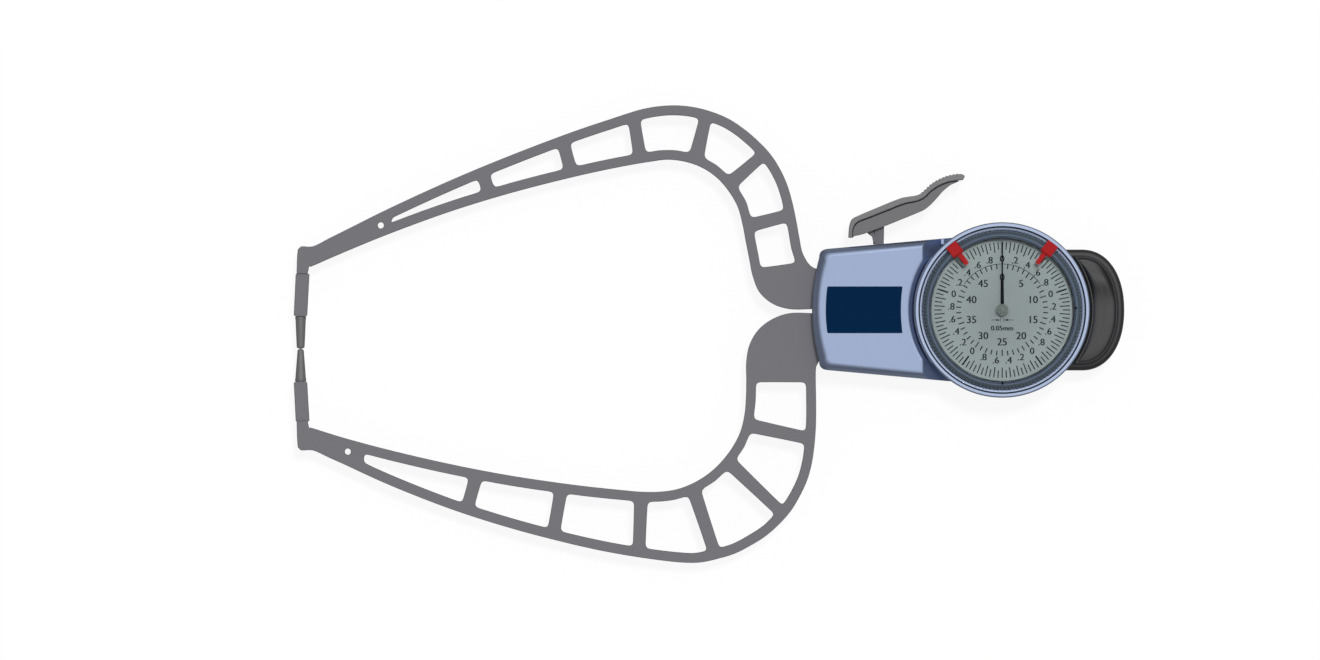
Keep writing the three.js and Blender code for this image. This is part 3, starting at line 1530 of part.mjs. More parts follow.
const longHandGroup = group(
  piece("centre_pinion_arbor", centrePinionArbor(), "steel"),
  piece("long_hand", longHand(), "handBlack"),
  piece("hand_cap", handCap(), "leverGrey"),
);

const bezel = group(
  piece("bezel_ring", bezelRing(), "ringMetal"),
  piece("knurled_ring", knurledRing(), "knurlMetal"),
  piece("lens_ring", lensRing(), "ringMetal"),
  piece("lens_seal", lensSeal(), "rubber"),
  piece("lens", lens(), "glass"),
  piece("dial_plate", dialPlate(), "dialFace"),
);

const markers = group(
  piece("left_marker", marker(leftMarkerAngle), "markerRed"),
  piece("right_marker", marker(rightMarkerAngle), "markerRed"),
);

export default group(
  housing,
  fixedSide,
  movement,
  movingSide,
  firstArborGroup,
  shortHandGroup,
  longHandGroup,
  bezel,
  markers,
);
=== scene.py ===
"""The looks of the dial gauge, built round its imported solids.

Sizes are in millimetres, as on a drawing, and every mesh is made in metres, in the frame's own
place. The gauge lies on its flat back: +Z comes out of the dial and -X points to the contacts.
"""

import logging
import math
from collections.abc import Callable, Sequence
from dataclasses import dataclass
from enum import Enum

import bmesh
import bpy
from mathutils import Matrix, Vector


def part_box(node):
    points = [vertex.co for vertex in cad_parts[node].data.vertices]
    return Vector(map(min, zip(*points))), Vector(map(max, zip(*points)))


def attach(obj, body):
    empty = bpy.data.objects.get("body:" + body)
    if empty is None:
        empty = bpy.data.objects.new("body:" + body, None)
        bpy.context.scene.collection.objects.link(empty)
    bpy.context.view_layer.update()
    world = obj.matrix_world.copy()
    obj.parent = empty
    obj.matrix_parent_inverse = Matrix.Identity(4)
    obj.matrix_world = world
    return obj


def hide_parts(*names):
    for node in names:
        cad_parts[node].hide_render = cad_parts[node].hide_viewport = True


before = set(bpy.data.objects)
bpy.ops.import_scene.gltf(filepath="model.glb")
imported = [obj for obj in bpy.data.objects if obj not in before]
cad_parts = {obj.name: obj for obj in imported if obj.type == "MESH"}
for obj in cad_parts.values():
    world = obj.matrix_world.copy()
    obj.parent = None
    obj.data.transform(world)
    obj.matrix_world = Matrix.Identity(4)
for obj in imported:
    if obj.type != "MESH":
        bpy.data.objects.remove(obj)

log = logging.getLogger("gauge")

MM = 0.001
Point = tuple[float, float]
Rgb = tuple[int, int, int]

# Shared sizes of the solids, in millimetres
DIAL_AXIS: Point = (0.0, 0.0)
PIVOT: Point = (-62.8, 0.0)
ARM_LEVELS = (9.0, 15.0)
CONTACT_X = -263.324
CONTACT_Z = 12.0

# The name plate: left and right, bottom and top, how far its sides bow, and its corners
PLATE_SIDES = (-65.5, -37.4)
PLATE_ENDS = (-8.65, 8.8)
PLATE_LEAN = 1.2
PLATE_CORNER = 0.45

# A face whose normal is this close to upright counts as level
LEVEL_NORMAL = 0.9999
# Corners closer than this, in metres, are one corner, in a drawn piece and in a solid
JOIN_DISTANCE = 1e-7
SOLID_JOIN_DISTANCE = 2e-6
# How far from a solid's flat end its corners may lie, in millimetres
FLAT_REACH = 0.02

# Steps round turned pieces: small ones, hidden rooms, most others, plain rings, the bezel's
SMALL_FACETS, ROOM_FACETS, FACETS, RING_FACETS, BEZEL_FACETS = 72, 96, 128, 192, 256


# Meshes


def node_levels(node: str) -> tuple[float, float]:
    """Returns the lowest and highest level of a solid of the frame, in millimetres."""
    low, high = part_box(node)
    return low.z / MM, high.z / MM


def linked(name: str, data: bpy.types.ID) -> bpy.types.Object:
    """Returns a new object of the scene that holds a mesh, curve, lamp or camera."""
    made = bpy.data.objects.new(name, data)
    bpy.context.scene.collection.objects.link(made)
    return made


def as_mesh(piece: bpy.types.Object) -> bpy.types.Mesh:
    """Returns a piece as one plain mesh, with its modifiers applied."""
    graph = bpy.context.evaluated_depsgraph_get()
    return bpy.data.meshes.new_from_object(piece.evaluated_get(graph), depsgraph=graph)


def sealed(mesh: bpy.types.Mesh) -> bpy.types.Mesh:
    """Joins the doubled corners of a closed mesh and turns its faces outwards."""
    work = bmesh.new()
    work.from_mesh(mesh)
    bmesh.ops.remove_doubles(work, verts=work.verts, dist=JOIN_DISTANCE)
    bmesh.ops.recalc_face_normals(work, faces=work.faces)
    work.to_mesh(mesh)
    work.free()
    return mesh


def discard(*pieces: bpy.types.Object) -> None:
    """Removes helper objects from the file."""
    for piece in pieces:
        bpy.data.objects.remove(piece)


def mesh_piece(
    name: str, corners: Sequence[Sequence[float]], faces: Sequence[Sequence[int]]
) -> bpy.types.Object:
    """Makes a closed piece from corners in millimetres, with its faces turned outwards.

    Args:
        name: The piece's name.
        corners: Points in millimetres.
        faces: Corner numbers of each face.

    Returns:
        The new object.
    """
    mesh = bpy.data.meshes.new(name)
    mesh.from_pydata([Vector(c) * MM for c in corners], [], faces)
    return linked(name, sealed(mesh))


def smoothed(piece: bpy.types.Object, crease: float = 32.0) -> bpy.types.Object:
    """Shades a piece smoothly, but keeps its sharp edges and the rims of its level faces.

    Args:
        piece: The piece to shade.
        crease: Edges sharper than this angle in degrees are kept.

    Returns:
        The piece.
    """
    mesh = piece.data
    mesh.shade_smooth()
    mesh.set_sharp_from_angle(angle=math.radians(crease))
    work = bmesh.new()
    work.from_mesh(mesh)
    for edge in work.edges:
        level = {abs(face.normal.z) > LEVEL_NORMAL for face in edge.link_faces}
        if len(level) == 2:
            edge.smooth = False
    for face in work.faces:
        face.smooth = abs(face.normal.z) <= LEVEL_NORMAL
    work.to_mesh(mesh)
    work.free()
    return piece


def settled(piece: bpy.types.Object) -> bpy.types.Object:
    """Turns a piece and its modifiers into one plain mesh."""
    mesh = as_mesh(piece)
    piece.modifiers.clear()
    piece.data = mesh
    return piece


def combined(
    how: str, piece: bpy.types.Object, others: Sequence[bpy.types.Object]
) -> bpy.types.Object:
    """Joins solids to a piece, or cuts them out of it, and removes them.

    Args:
        how: UNION or DIFFERENCE.
        piece: The piece to change.
        others: Closed helper pieces.

    Returns:
        The piece, as one plain mesh.
    """
    for other in others:
        step = piece.modifiers.new("solid", "BOOLEAN")
        step.operation, step.solver, step.object = how, "EXACT", other
        settled(piece)
    discard(*others)
    return piece


def without(piece: bpy.types.Object, *cutters: bpy.types.Object) -> bpy.types.Object:
    """Cuts the cutters out of a piece and removes them."""
    return combined("DIFFERENCE", piece, cutters)


def unite(piece: bpy.types.Object, other: bpy.types.Object) -> bpy.types.Object:
    """Joins another solid to a piece and removes it."""
    return combined("UNION", piece, [other])


def merged(name: str, pieces: Sequence[bpy.types.Object]) -> bpy.types.Object:
    """Puts the meshes of several pieces into one piece.

    Args:
        name: The new piece's name.
        pieces: Pieces whose places are in their meshes. They are removed.

    Returns:
        The new object.
    """
    work = bmesh.new()
    for piece in pieces:
        work.from_mesh(piece.data)
    mesh = bpy.data.meshes.new(name)
    work.to_mesh(mesh)
    work.free()
    discard(*pieces)
    return linked(name, mesh)


def skinned(
    name: str, rings: Sequence[Sequence[tuple[float, float, float]]]
) -> bpy.types.Object:
    """Makes a solid whose skin runs through rings of equal count, closed at both ends.

    Args:
        name: The piece's name.
        rings: The points of each ring.

    Returns:
        The new object.
    """
    count = len(rings[0])
    corners = [point for ring in rings for point in ring]
    faces: list[Sequence[int]] = [range(count)]
    for start in range(0, len(corners) - count, count):
        for i in range(count):
            a, b = start + i, start + (i + 1) % count
            faces.append((a, b, b + count, a + count))
    faces.append(range(len(corners) - count, len(corners)))
    return mesh_piece(name, corners, faces)


def lofted(
    name: str, rings: Sequence[tuple[float, Sequence[Point]]]
) -> bpy.types.Object:
    """Makes a solid through level outlines, each given with its level, the lowest first."""
    return skinned(name, [[(x, y, z) for x, y in outline] for z, outline in rings])


def turned(
    name: str,
    profile: Sequence[Point],
    facets: int = FACETS,
    centre: Point = DIAL_AXIS,
) -> bpy.types.Object:
    """Makes a turned solid about an upright axis.

    Args:
        name: The piece's name.
        profile: Closed run of (radius, level) points. Points on the axis have radius 0.
        facets: Steps round the axis.
        centre: Where the axis stands.

    Returns:
        The new object.
    """
    corners: list[tuple[float, float, float]] = []
    faces: list[Sequence[int]] = []
    count = len(profile)
    for step in range(facets):
        turn = 2 * math.pi * step / facets
        for radius, level in profile:
            x = centre[0] + radius * math.cos(turn)
            y = centre[1] + radius * math.sin(turn)
            corners.append((x, y, level))
    for step in range(facets):
        here, there = step * count, (step + 1) % facets * count
        for i in range(count):
            j = (i + 1) % count
            ends = (profile[i][0] == 0) + (profile[j][0] == 0)
            if ends == 2:
                continue
            face = [here + i, there + i, there + j, here + j]
            if profile[i][0] == 0:
                face.remove(there + i)
            if profile[j][0] == 0:
                face.remove(there + j)
            faces.append(face)
    return mesh_piece(name, corners, faces)


def drum(
    name: str, radius: float, low: float, high: float, facets: int = FACETS
) -> bpy.types.Object:
    """Returns a plain round block about the dial's axis, between two levels."""
    return turned(name, [(0, low), (radius, low), (radius, high), (0, high)], facets)


def plate(
    name: str,
    outlines: Sequence[Sequence[Point]],
    levels: tuple[float, float],
    edge: float,
    rounds: int = 2,
) -> bpy.types.Object:
    """Makes a flat plate with rounded edges from its outline and the outlines of its openings.

    Args:
        name: The piece's name.
        outlines: The outer outline and those of the openings.
        levels: Lowest and highest level.
        edge: Radius of the rounded edges.
        rounds: Steps of the rounding.

    Returns:
        The new object.
    """
    curve = bpy.data.curves.new(name, "CURVE")
    curve.dimensions, curve.fill_mode = "2D", "BOTH"
    curve.extrude = ((levels[1] - levels[0]) / 2 - edge) * MM
    curve.bevel_depth, curve.offset = edge * MM, -edge * MM
    curve.bevel_resolution = rounds
    for outline in outlines:
        spline = curve.splines.new("POLY")
        spline.points.add(len(outline) - 1)
        for point, (x, y) in zip(spline.points, outline):
            point.co = (x * MM, y * MM, 0, 1)
        spline.use_cyclic_u = True
    helper = linked(name, curve)
    mesh = as_mesh(helper)
    mesh.transform(Matrix.Translation((0, 0, sum(levels) / 2 * MM)))
    discard(helper)
    return linked(name, sealed(mesh))


def flowing(
    points: Sequence[Point], step: float, closed: bool = True, sharp: float = 50.0
) -> list[Point]:
    """Draws a smooth curve through the points of an outline and keeps its sharp corners.

    Args:
        points: The outline.
        step: About how far apart the new points lie.
        closed: Whether the last point joins the first.
        sharp: Turns past this angle, in degrees, stay corners.

    Returns:
        The new points.
    """
    run = [Vector(p) for p in points]
    count = len(run)
    corner = []
    for i, here in enumerate(run):
        before, after = here - run[i - 1], run[(i + 1) % count] - here
        bend = before.angle(after, 0.0)
        at_end = not closed and i in (0, count - 1)
        corner.append(at_end or bend > math.radians(sharp))
    made: list[Point] = []
    for i in range(count if closed else count - 1):
        j = (i + 1) % count
        a, b = run[i], run[j]
        span = (b - a).length
        before = a * 2 - b if corner[i] else run[i - 1]
        after = b * 2 - a if corner[j] else run[(j + 1) % count]
        leave = (b - before) * (span / ((a - before).length + span))
        arrive = (after - a) * (span / ((after - b).length + span))
        pieces = max(1, round(span / step))
        for k in range(pieces):
            t = k / pieces
            place = (
                a * (2 * t**3 - 3 * t**2 + 1)
                + leave * (t**3 - 2 * t**2 + t)
                + b * (3 * t**2 - 2 * t**3)
                + arrive * (t**3 - t**2)
            )
            made.append(tuple(place))
    if not closed:
        made.append(tuple(run[-1]))
    return made


def bow(start: Point, middle: Point, end: Point, steps: int) -> list[Point]:
    """Returns points on the curve from start to end that leans to the middle point."""
    a, b, c = Vector(start), Vector(middle), Vector(end)
    shares = [step / steps for step in range(steps + 1)]
    return [tuple(a * (1 - t) ** 2 + b * 2 * t * (1 - t) + c * t**2) for t in shares]


def oval(
    centre: Point, reach: Point, first: float, last: float, steps: int
) -> list[Point]:
    """Returns points on an oval between two angles in degrees.

    Args:
        centre: Its middle.
        reach: Half its width and half its height.
        first: The first point's angle.
        last: The last point's angle.
        steps: How many steps lie between them.

    Returns:
        The points.
    """
    turns = [math.radians(first + (last - first) * s / steps) for s in range(steps + 1)]
    return [
        (centre[0] + reach[0] * math.cos(a), centre[1] + reach[1] * math.sin(a))
        for a in turns
    ]


def arc(radius: float, first: float, last: float, steps: int) -> list[Point]:
    """Returns points on an arc about the dial's axis between two angles in degrees."""
    return oval(DIAL_AXIS, (radius, radius), first, last, steps)


def at_angle(radius: float, turn: float, level: float) -> tuple[float, float, float]:
    """Returns the place on a circle about the dial's axis at an angle in radians."""
    return (radius * math.cos(turn), radius * math.sin(turn), level)


def outlines_at(node: str, level: float) -> list[list[Point]]:
    """Reads the outlines of a prism's flat end off its solid in the frame.

    Args:
        node: The solid's name.
        level: Height of the flat end in millimetres.

    Returns:
        The closed outlines, the longest one first.
    """
    work = bmesh.new()
    work.from_mesh(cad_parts[node].data)
    bmesh.ops.remove_doubles(work, verts=work.verts, dist=SOLID_JOIN_DISTANCE)
    flat = {
        face
        for face in work.faces
        if all(abs(v.co.z / MM - level) < FLAT_REACH for v in face.verts)
    }
    following: dict[bmesh.types.BMVert, bmesh.types.BMVert] = {}
    for face in flat:
        for loop in face.loops:
            others = [f for f in loop.edge.link_faces if f is not face]
            if not others or others[0] not in flat:
                following[loop.vert] = loop.link_loop_next.vert
    outlines = []
    while following:
        vert = next(iter(following))
        outline = []
        while vert in following:
            outline.append((vert.co.x / MM, vert.co.y / MM))
            vert = following.pop(vert)
        outlines.append(outline)
    work.free()
    outlines.sort(key=len, reverse=True)
    return outlines


def turned_to_y(piece: bpy.types.Object, x: float, y: float, up: bool) -> None:
    """Lays a turned piece along the contacts' axis.

    Args:
        piece: A piece that stands on the origin along Z.
        x: Where its axis lies along X.
        y: Where its foot lies along Y.
        up: Whether it points to +Y.
    """
    turn = Matrix.Rotation(math.radians(-90 if up else 90), 4, "X")
    place = Matrix.Translation(Vector((x, y, CONTACT_Z)) * MM)
    piece.data.transform(place @ turn)


# Finishes


LOOK = "look_"  # keeps the finishes apart from the plain materials of the solids

# Sockets of a colour mix, which share their names with those of the other kinds
MIX_COLOUR_A, MIX_COLOUR_B, MIX_COLOUR_RESULT = 6, 7, 2

# How a finish breaks up its colour and its roughness, with lengths in millimetres
BRUSHED_SCALE = (0.04, 1.0, 1.0)
FINE_DETAIL, BROAD_DETAIL = 3.0, 2.0
BROAD_WAVE = 26
FINE_SHARE, FINE_SHARE_BRUSHED = 0.55, 0.75
TINT_STOPS = (0.3, 0.7)
ROUGHNESS_SPREAD = 0.12
FLAKE_SIZE, FLAKE_REACH, FLAKE_CONTRAST, FLAKE_SHADE = 0.8, 0.9, 1.6, 0.72
# Radii between which the dial's painted shade fades from its middle to the full colour
PAINTED_SHADE_RADII = (24, 36)

# The lens
LENS_TINT = (0.975, 0.985, 0.985, 1)
LENS_IOR = 1.12
LENS_HAZE, LENS_HAZE_WAVE = 0.02, 3

# A screw's head, as shares of its radius and height, with its slot's length in millimetres
SCREW_FACETS = 40
SCREW_CROWN_RADIUS, SCREW_CROWN_HEIGHT = 0.86, 0.2
SLOT_LENGTH, SLOT_LIFT = 6, 0.85


class Coat(Enum):
    """How the colour of a finish is broken up."""

    PAINTED = "painted"
    CAST = "cast"
    BRUSHED = "brushed"
    MOULDED = "moulded"
    PRINTED = "printed"


@dataclass(frozen=True)
class Finish:
    """One surface finish, with colours as the eye sees them.

    Attributes:
        name: The material's name.
        slot: Name of its material slot.
        colour: Colour from 0 to 255.
        coat: What breaks up the colour.
        metallic: How much of a bare metal it is.
        roughness: Middle roughness.
        contrast: How far the colour strays, as a share of itself.
        grain: Size of the grain in millimetres.
        relief: Height of the grain in millimetres.
        shine: Strength of the shine of a finish that isn't metal.
        middle: Share of the colour left at the dial's axis, where a painted shade darkens it.
    """

    name: str
    slot: str
    colour: Rgb
    coat: Coat = Coat.MOULDED
    metallic: float = 0.0
    roughness: float = 0.45
    contrast: float = 0.05
    grain: float = 0.5
    relief: float = 0.004
    shine: float = 0.5
    middle: float = 1.0

    def linear(self, share: float = 1.0) -> tuple[float, float, float, float]:
        """Returns the colour as light values, scaled by a share."""
        return (*(min(1.0, light_value(c) * share) for c in self.colour), 1.0)

    def material(self) -> bpy.types.Material:
        """Returns the finish's node material, which is made once."""
        found = bpy.data.materials.get(LOOK + self.name)
        return found if found else self.build()

    def build(self) -> bpy.types.Material:
        """Makes the node material: broken colour, broken roughness and a fine relief.

        Returns:
            The new material.
        """
        made, nodes, shader = new_material(LOOK + self.name)
        brushed = self.coat is Coat.BRUSHED
        place = nodes.place()
        stretched = nodes.add("ShaderNodeMapping", {
            "Vector": place, "Scale": BRUSHED_SCALE if brushed else (1.0, 1.0, 1.0),
        })
        fine = nodes.noise(stretched.outputs[0], 1 / (self.grain * MM), FINE_DETAIL)
        broad = nodes.noise(place, 1 / (BROAD_WAVE * MM), BROAD_DETAIL)
        both = nodes.add("ShaderNodeMix", {
            "Factor": FINE_SHARE_BRUSHED if brushed else FINE_SHARE, "A": broad, "B": fine,
        })
        tint = nodes.add("ShaderNodeValToRGB", {"Fac": both.outputs[0]})
        for stop, position, side in zip(tint.color_ramp.elements, TINT_STOPS, (-1, 1)):
            stop.position = position
            stop.color = self.linear(1 + side * self.contrast)
        colour = self.speckled(nodes, tint.outputs[0], place)
        rough = nodes.add("ShaderNodeMapRange", {
            "Value": fine,
            "To Min": self.roughness * (1 - ROUGHNESS_SPREAD),
            "To Max": self.roughness * (1 + ROUGHNESS_SPREAD),
        })
        bump = nodes.add("ShaderNodeBump", {
            "Height": fine, "Distance": self.relief * MM, "Strength": 1.0,
        })
        nodes.fill(shader, {
            "Base Color": self.with_painted_axis_shade(nodes, colour, place),
            "Metallic": self.metallic,
            "Roughness": rough.outputs[0],
            "Specular IOR Level": self.shine,
            "Normal": bump.outputs[0],
        })
        return made

    def speckled(
        self, nodes: "Nodes", colour: bpy.types.NodeSocket, place: bpy.types.NodeSocket
    ) -> bpy.types.NodeSocket:
        """Adds the flakes of a cast or painted finish to its colour.

        Args:
            nodes: The material's nodes.
            colour: The colour so far.
            place: The place on the piece.

        Returns:
            The colour with its flakes.
        """
        if self.coat not in (Coat.CAST, Coat.PAINTED):
            return colour
        cells = nodes.add("ShaderNodeTexVoronoi", {
            "Vector": place, "Scale": 1 / (self.grain * FLAKE_SIZE * MM),
        })
        level = nodes.add("ShaderNodeMapRange", {
            "Value": cells.outputs["Distance"], "From Max": FLAKE_REACH,
            "To Max": self.contrast * FLAKE_CONTRAST,
        })
        mix = nodes.add("ShaderNodeMix", {
            "Factor": level.outputs[0], MIX_COLOUR_A: colour,
            MIX_COLOUR_B: self.linear(FLAKE_SHADE),
        }, data_type="RGBA")
        return mix.outputs[MIX_COLOUR_RESULT]

    def with_painted_axis_shade(
        self, nodes: "Nodes", colour: bpy.types.NodeSocket, place: bpy.types.NodeSocket
    ) -> bpy.types.NodeSocket:
        """Paints a soft shade into a printed finish towards the dial's axis.

        Args:
            nodes: The material's nodes.
            colour: The colour so far.
            place: The place on the piece.

        Returns:
            The colour with its painted shade.
        """
        if self.middle == 1.0:
            return colour
        radius = nodes.add("ShaderNodeVectorMath", {0: place}, operation="LENGTH")
        share = nodes.add("ShaderNodeMapRange", {
            "Value": radius.outputs["Value"], "From Min": PAINTED_SHADE_RADII[0] * MM,
            "From Max": PAINTED_SHADE_RADII[1] * MM, "To Min": self.middle,
        }, interpolation_type="SMOOTHSTEP")
        shaded = nodes.add("ShaderNodeVectorMath", operation="SCALE")
        nodes.fill(shaded, {0: colour, "Scale": share.outputs[0]})
        return shaded.outputs[0]


def light_value(level: float) -> float:
    """Returns the light value of a colour level from 0 to 255."""
    share = level / 255
    return share / 12.92 if share <= 0.04045 else ((share + 0.055) / 1.055) ** 2.4


class Nodes:
    """A node tree that is filled node by node."""

    def __init__(self, tree: bpy.types.NodeTree) -> None:
        """Keeps the tree to fill."""
        self.tree = tree

    def add(
        self, kind: str, inputs: dict[str | int, object] | None = None, **settings: object
    ) -> bpy.types.Node:
        """Adds a node.

        Args:
            kind: The node's type.
            inputs: Values of its inputs, or the sockets that feed them.
            settings: Its options.

        Returns:
            The new node.
        """
        made = self.tree.nodes.new(kind)
        for option, value in settings.items():
            setattr(made, option, value)
        self.fill(made, inputs or {})
        return made

    def fill(self, node: bpy.types.Node, inputs: dict[str | int, object]) -> None:
        """Joins or sets several inputs of a node."""
        for label, value in inputs.items():
            self.feed(node.inputs[label], value)

    def feed(self, socket: bpy.types.NodeSocket, value: object) -> None:
        """Joins a socket to another one, or gives it a value."""
        if isinstance(value, bpy.types.NodeSocket):
            self.tree.links.new(value, socket)
        else:
            socket.default_value = value

    def math(self, operation: str, *values: object) -> bpy.types.NodeSocket:
        """Adds a calculation and returns its result."""
        numbered = dict(enumerate(values))
        return self.add("ShaderNodeMath", numbered, operation=operation).outputs[0]

    def switch(
        self, choice: bpy.types.NodeSocket, without_it: object, with_it: object
    ) -> bpy.types.NodeSocket:
        """Adds a switch between two strengths and returns its result."""
        inputs = {"Factor": choice, "A": without_it, "B": with_it}
        return self.add("ShaderNodeMix", inputs).outputs["Result"]

    def place(self) -> bpy.types.NodeSocket:
        """Returns the place on the piece."""
        return self.add("ShaderNodeTexCoord").outputs["Object"]

    def noise(
        self, place: bpy.types.NodeSocket, scale: float, detail: float
    ) -> bpy.types.NodeSocket:
        """Adds a noise from 0 to 1, with its waves to the metre and its finer waves."""
        inputs = {"Vector": place, "Scale": scale, "Detail": detail}
        return self.add("ShaderNodeTexNoise", inputs).outputs["Fac"]


def new_material(name: str) -> tuple[bpy.types.Material, Nodes, bpy.types.Node]:
    """Returns a new material, its nodes and its shader."""
    made = bpy.data.materials.new(name)
    made.use_nodes = True
    return made, Nodes(made.node_tree), made.node_tree.nodes["Principled BSDF"]


HOUSING_PAINT = Finish(
    "housing_paint", "housing_paint", (162, 177, 208), Coat.PAINTED,
    metallic=0.88, roughness=0.26, contrast=0.012, grain=0.35, relief=0.0006,
)
ARM_METAL = Finish(
    "arm_metal", "arm_metal", (116, 115, 120), Coat.CAST,
    metallic=0.1, roughness=0.55, contrast=0.02, grain=0.6, relief=0.002, shine=0.3,
)
CONTACT_STEEL = Finish(
    "contact_steel", "contact_steel", (122, 122, 123), Coat.BRUSHED,
    metallic=0.4, roughness=0.4, contrast=0.06, grain=0.2, relief=0.0006,
)
GRIP_PLASTIC = Finish(
    "grip_plastic", "grip_plastic", (34, 34, 35), Coat.MOULDED,
    roughness=0.28, contrast=0.04, grain=0.45, relief=0.0015, shine=0.9,
)
PLATE_BLUE = Finish(
    "plate_blue", "plate_blue", (2, 34, 67), Coat.PAINTED,
    roughness=0.5, contrast=0.04, grain=0.25, relief=0.0006, shine=0.05,
)
LEVER_PLASTIC = Finish(
    "lever_plastic", "lever_plastic", (113, 113, 115), Coat.MOULDED,
    roughness=0.5, contrast=0.03, grain=0.4, relief=0.002, shine=0.25,
)
PAD_PLASTIC = Finish(
    "pad_plastic", "lever_plastic", (124, 124, 126), Coat.MOULDED,
    roughness=0.55, contrast=0.04, grain=0.5, relief=0.004, shine=0.25,
)
SCREW_STEEL = Finish(
    "screw_steel", "plain_steel", (150, 151, 154), Coat.BRUSHED,
    metallic=0.9, roughness=0.32, contrast=0.08, grain=0.15, relief=0.001,
)
WHEEL_BRASS = Finish(
    "wheel_brass", "brass", (190, 160, 98), Coat.BRUSHED,
    metallic=0.9, roughness=0.34, contrast=0.08, grain=0.25, relief=0.001,
)
BUSH_BRONZE = Finish(
    "bush_bronze", "bronze", (165, 124, 82), Coat.CAST,
    metallic=0.85, roughness=0.4, contrast=0.1, grain=0.2, relief=0.001,
)
SEAL_RUBBER = Finish(
    "seal_rubber", "seal_rubber", (27, 28, 30), Coat.MOULDED,
    roughness=0.8, contrast=0.15, grain=0.3, relief=0.006,
)
SLIP_PLASTIC = Finish(
    "slip_plastic", "slip_plastic", (30, 31, 33), Coat.MOULDED,
    roughness=0.55, contrast=0.1, grain=0.3, relief=0.002,
)
# Its middle paints a shade into the dial, darker towards the axis
DIAL_PAPER = Finish(
    "dial_face", "dial_face", (129, 138, 138), Coat.PRINTED,
    roughness=0.7, contrast=0.012, grain=0.5, relief=0.0005, shine=0.2, middle=0.84,
)
DIAL_INK = Finish(
    "dial_ink", "dial_face", (26, 31, 34), Coat.PRINTED,
    roughness=0.8, contrast=0.1, grain=0.12, relief=0.0005, shine=0.1,
)
HAND_BLACK = Finish(
    "hand_black", "hand_black", (6, 7, 8), Coat.PAINTED,
    roughness=0.6, contrast=0.1, grain=0.1, relief=0.0005, shine=0.1,
)
CAP_GREY = Finish(
    "cap_grey", "lever_plastic", (88, 95, 92), Coat.MOULDED,
    metallic=0.2, roughness=0.4, contrast=0.05, grain=0.2, relief=0.001, shine=0.3,
)
KNURL_METAL = Finish(
    "knurl_metal", "knurl_metal", (76, 89, 99), Coat.BRUSHED,
    metallic=0.3, roughness=0.34, contrast=0.1, grain=0.2, relief=0.001,
)
RING_METAL = Finish(
    "ring_metal", "ring_metal", (176, 190, 218), Coat.PAINTED,
    metallic=0.88, roughness=0.22, contrast=0.02, grain=0.3, relief=0.0004,
)
# Painted shade: a darker copy of the ring's paint for its groove and its inside
GROOVE_PAINTED_SHADE = Finish(
    "groove_painted_shade", "ring_metal", (52, 63, 80), Coat.BRUSHED,
    metallic=0.6, roughness=0.4, contrast=0.08, grain=0.3, relief=0.0006,
)
LENS_RING_METAL = Finish(
    "lens_ring_metal", "ring_metal", (92, 105, 124), Coat.BRUSHED,
    metallic=0.8, roughness=0.3, contrast=0.05, grain=0.25, relief=0.0006,
)
MARKER_RED = Finish(
    "marker_red", "marker_red", (160, 28, 31), Coat.MOULDED,
    roughness=0.45, contrast=0.04, grain=0.3, relief=0.0006, shine=0.2,
)


def lens_material() -> bpy.types.Material:
    """Makes the clear glass of the lens, which lets the lamps' light through.

    Returns:
        The new material.
    """
    made, nodes, shader = new_material(LOOK + "lens_clear")
    haze = nodes.noise(nodes.place(), 1 / (LENS_HAZE_WAVE * MM), BROAD_DETAIL)
    rough = nodes.add("ShaderNodeMapRange", {
        "Value": haze, "To Min": 0.0, "To Max": LENS_HAZE,
    })
    nodes.fill(shader, {
        "Base Color": LENS_TINT, "Transmission Weight": 1.0, "IOR": LENS_IOR,
        "Roughness": rough.outputs[0],
    })
    mix = nodes.add("ShaderNodeMixShader", {
        0: nodes.add("ShaderNodeLightPath").outputs["Is Shadow Ray"],
        1: shader.outputs[0],
        2: nodes.add("ShaderNodeBsdfTransparent").outputs[0],
    })
    nodes.fill(made.node_tree.nodes["Material Output"], {"Surface": mix.outputs[0]})
    return made


def dressed(
    piece: bpy.types.Object, finish: Finish, body: str, *nodes: str
) -> bpy.types.Object:
    """Gives a piece its finish and body, in the place of the solids it stands for.

    Args:
        piece: The finished piece.
        finish: Its finish.
        body: The body it moves with.
        nodes: The solids it replaces.

    Returns:
        The piece.
    """
    piece.data.materials.clear()
    piece.data.materials.append(finish.material())
    return placed(piece, finish.slot, body, *nodes)


def placed(
    piece: bpy.types.Object, slot: str, body: str, *nodes: str
) -> bpy.types.Object:
    """Gives a piece its body, in the place of the solids it stands for."""
    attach(piece, body)
    if nodes:
        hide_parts(*nodes)
    log.info(
        "%s: %d faces, moves with %s", piece.name, len(piece.data.polygons), body
    )
    return piece


def two_toned(
    piece: bpy.types.Object, main_finish: Finish, second: Finish,
    takes_second: Callable[[Vector], bool],
) -> bpy.types.Object:
    """Gives a piece two finishes.

    Args:
        piece: The piece.
        main_finish: The finish of most faces.
        second: The finish of the chosen faces.
        takes_second: Tells from a face's middle, in millimetres, whether it is chosen.

    Returns:
        The piece.
    """
    for finish in (main_finish, second):
        piece.data.materials.append(finish.material())
    for face in piece.data.polygons:
        face.material_index = int(takes_second(face.center / MM))
    return piece


def kept(finish: Finish, *nodes: str) -> None:
    """Gives solids of the frame, which stay as they are, their finish."""
    for node in nodes:
        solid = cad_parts[node]
        solid.data.materials.clear()
        solid.data.materials.append(finish.material())
        log.info("%s: kept, %s", node, finish.name)


# Repeated shapes, made with geometry nodes


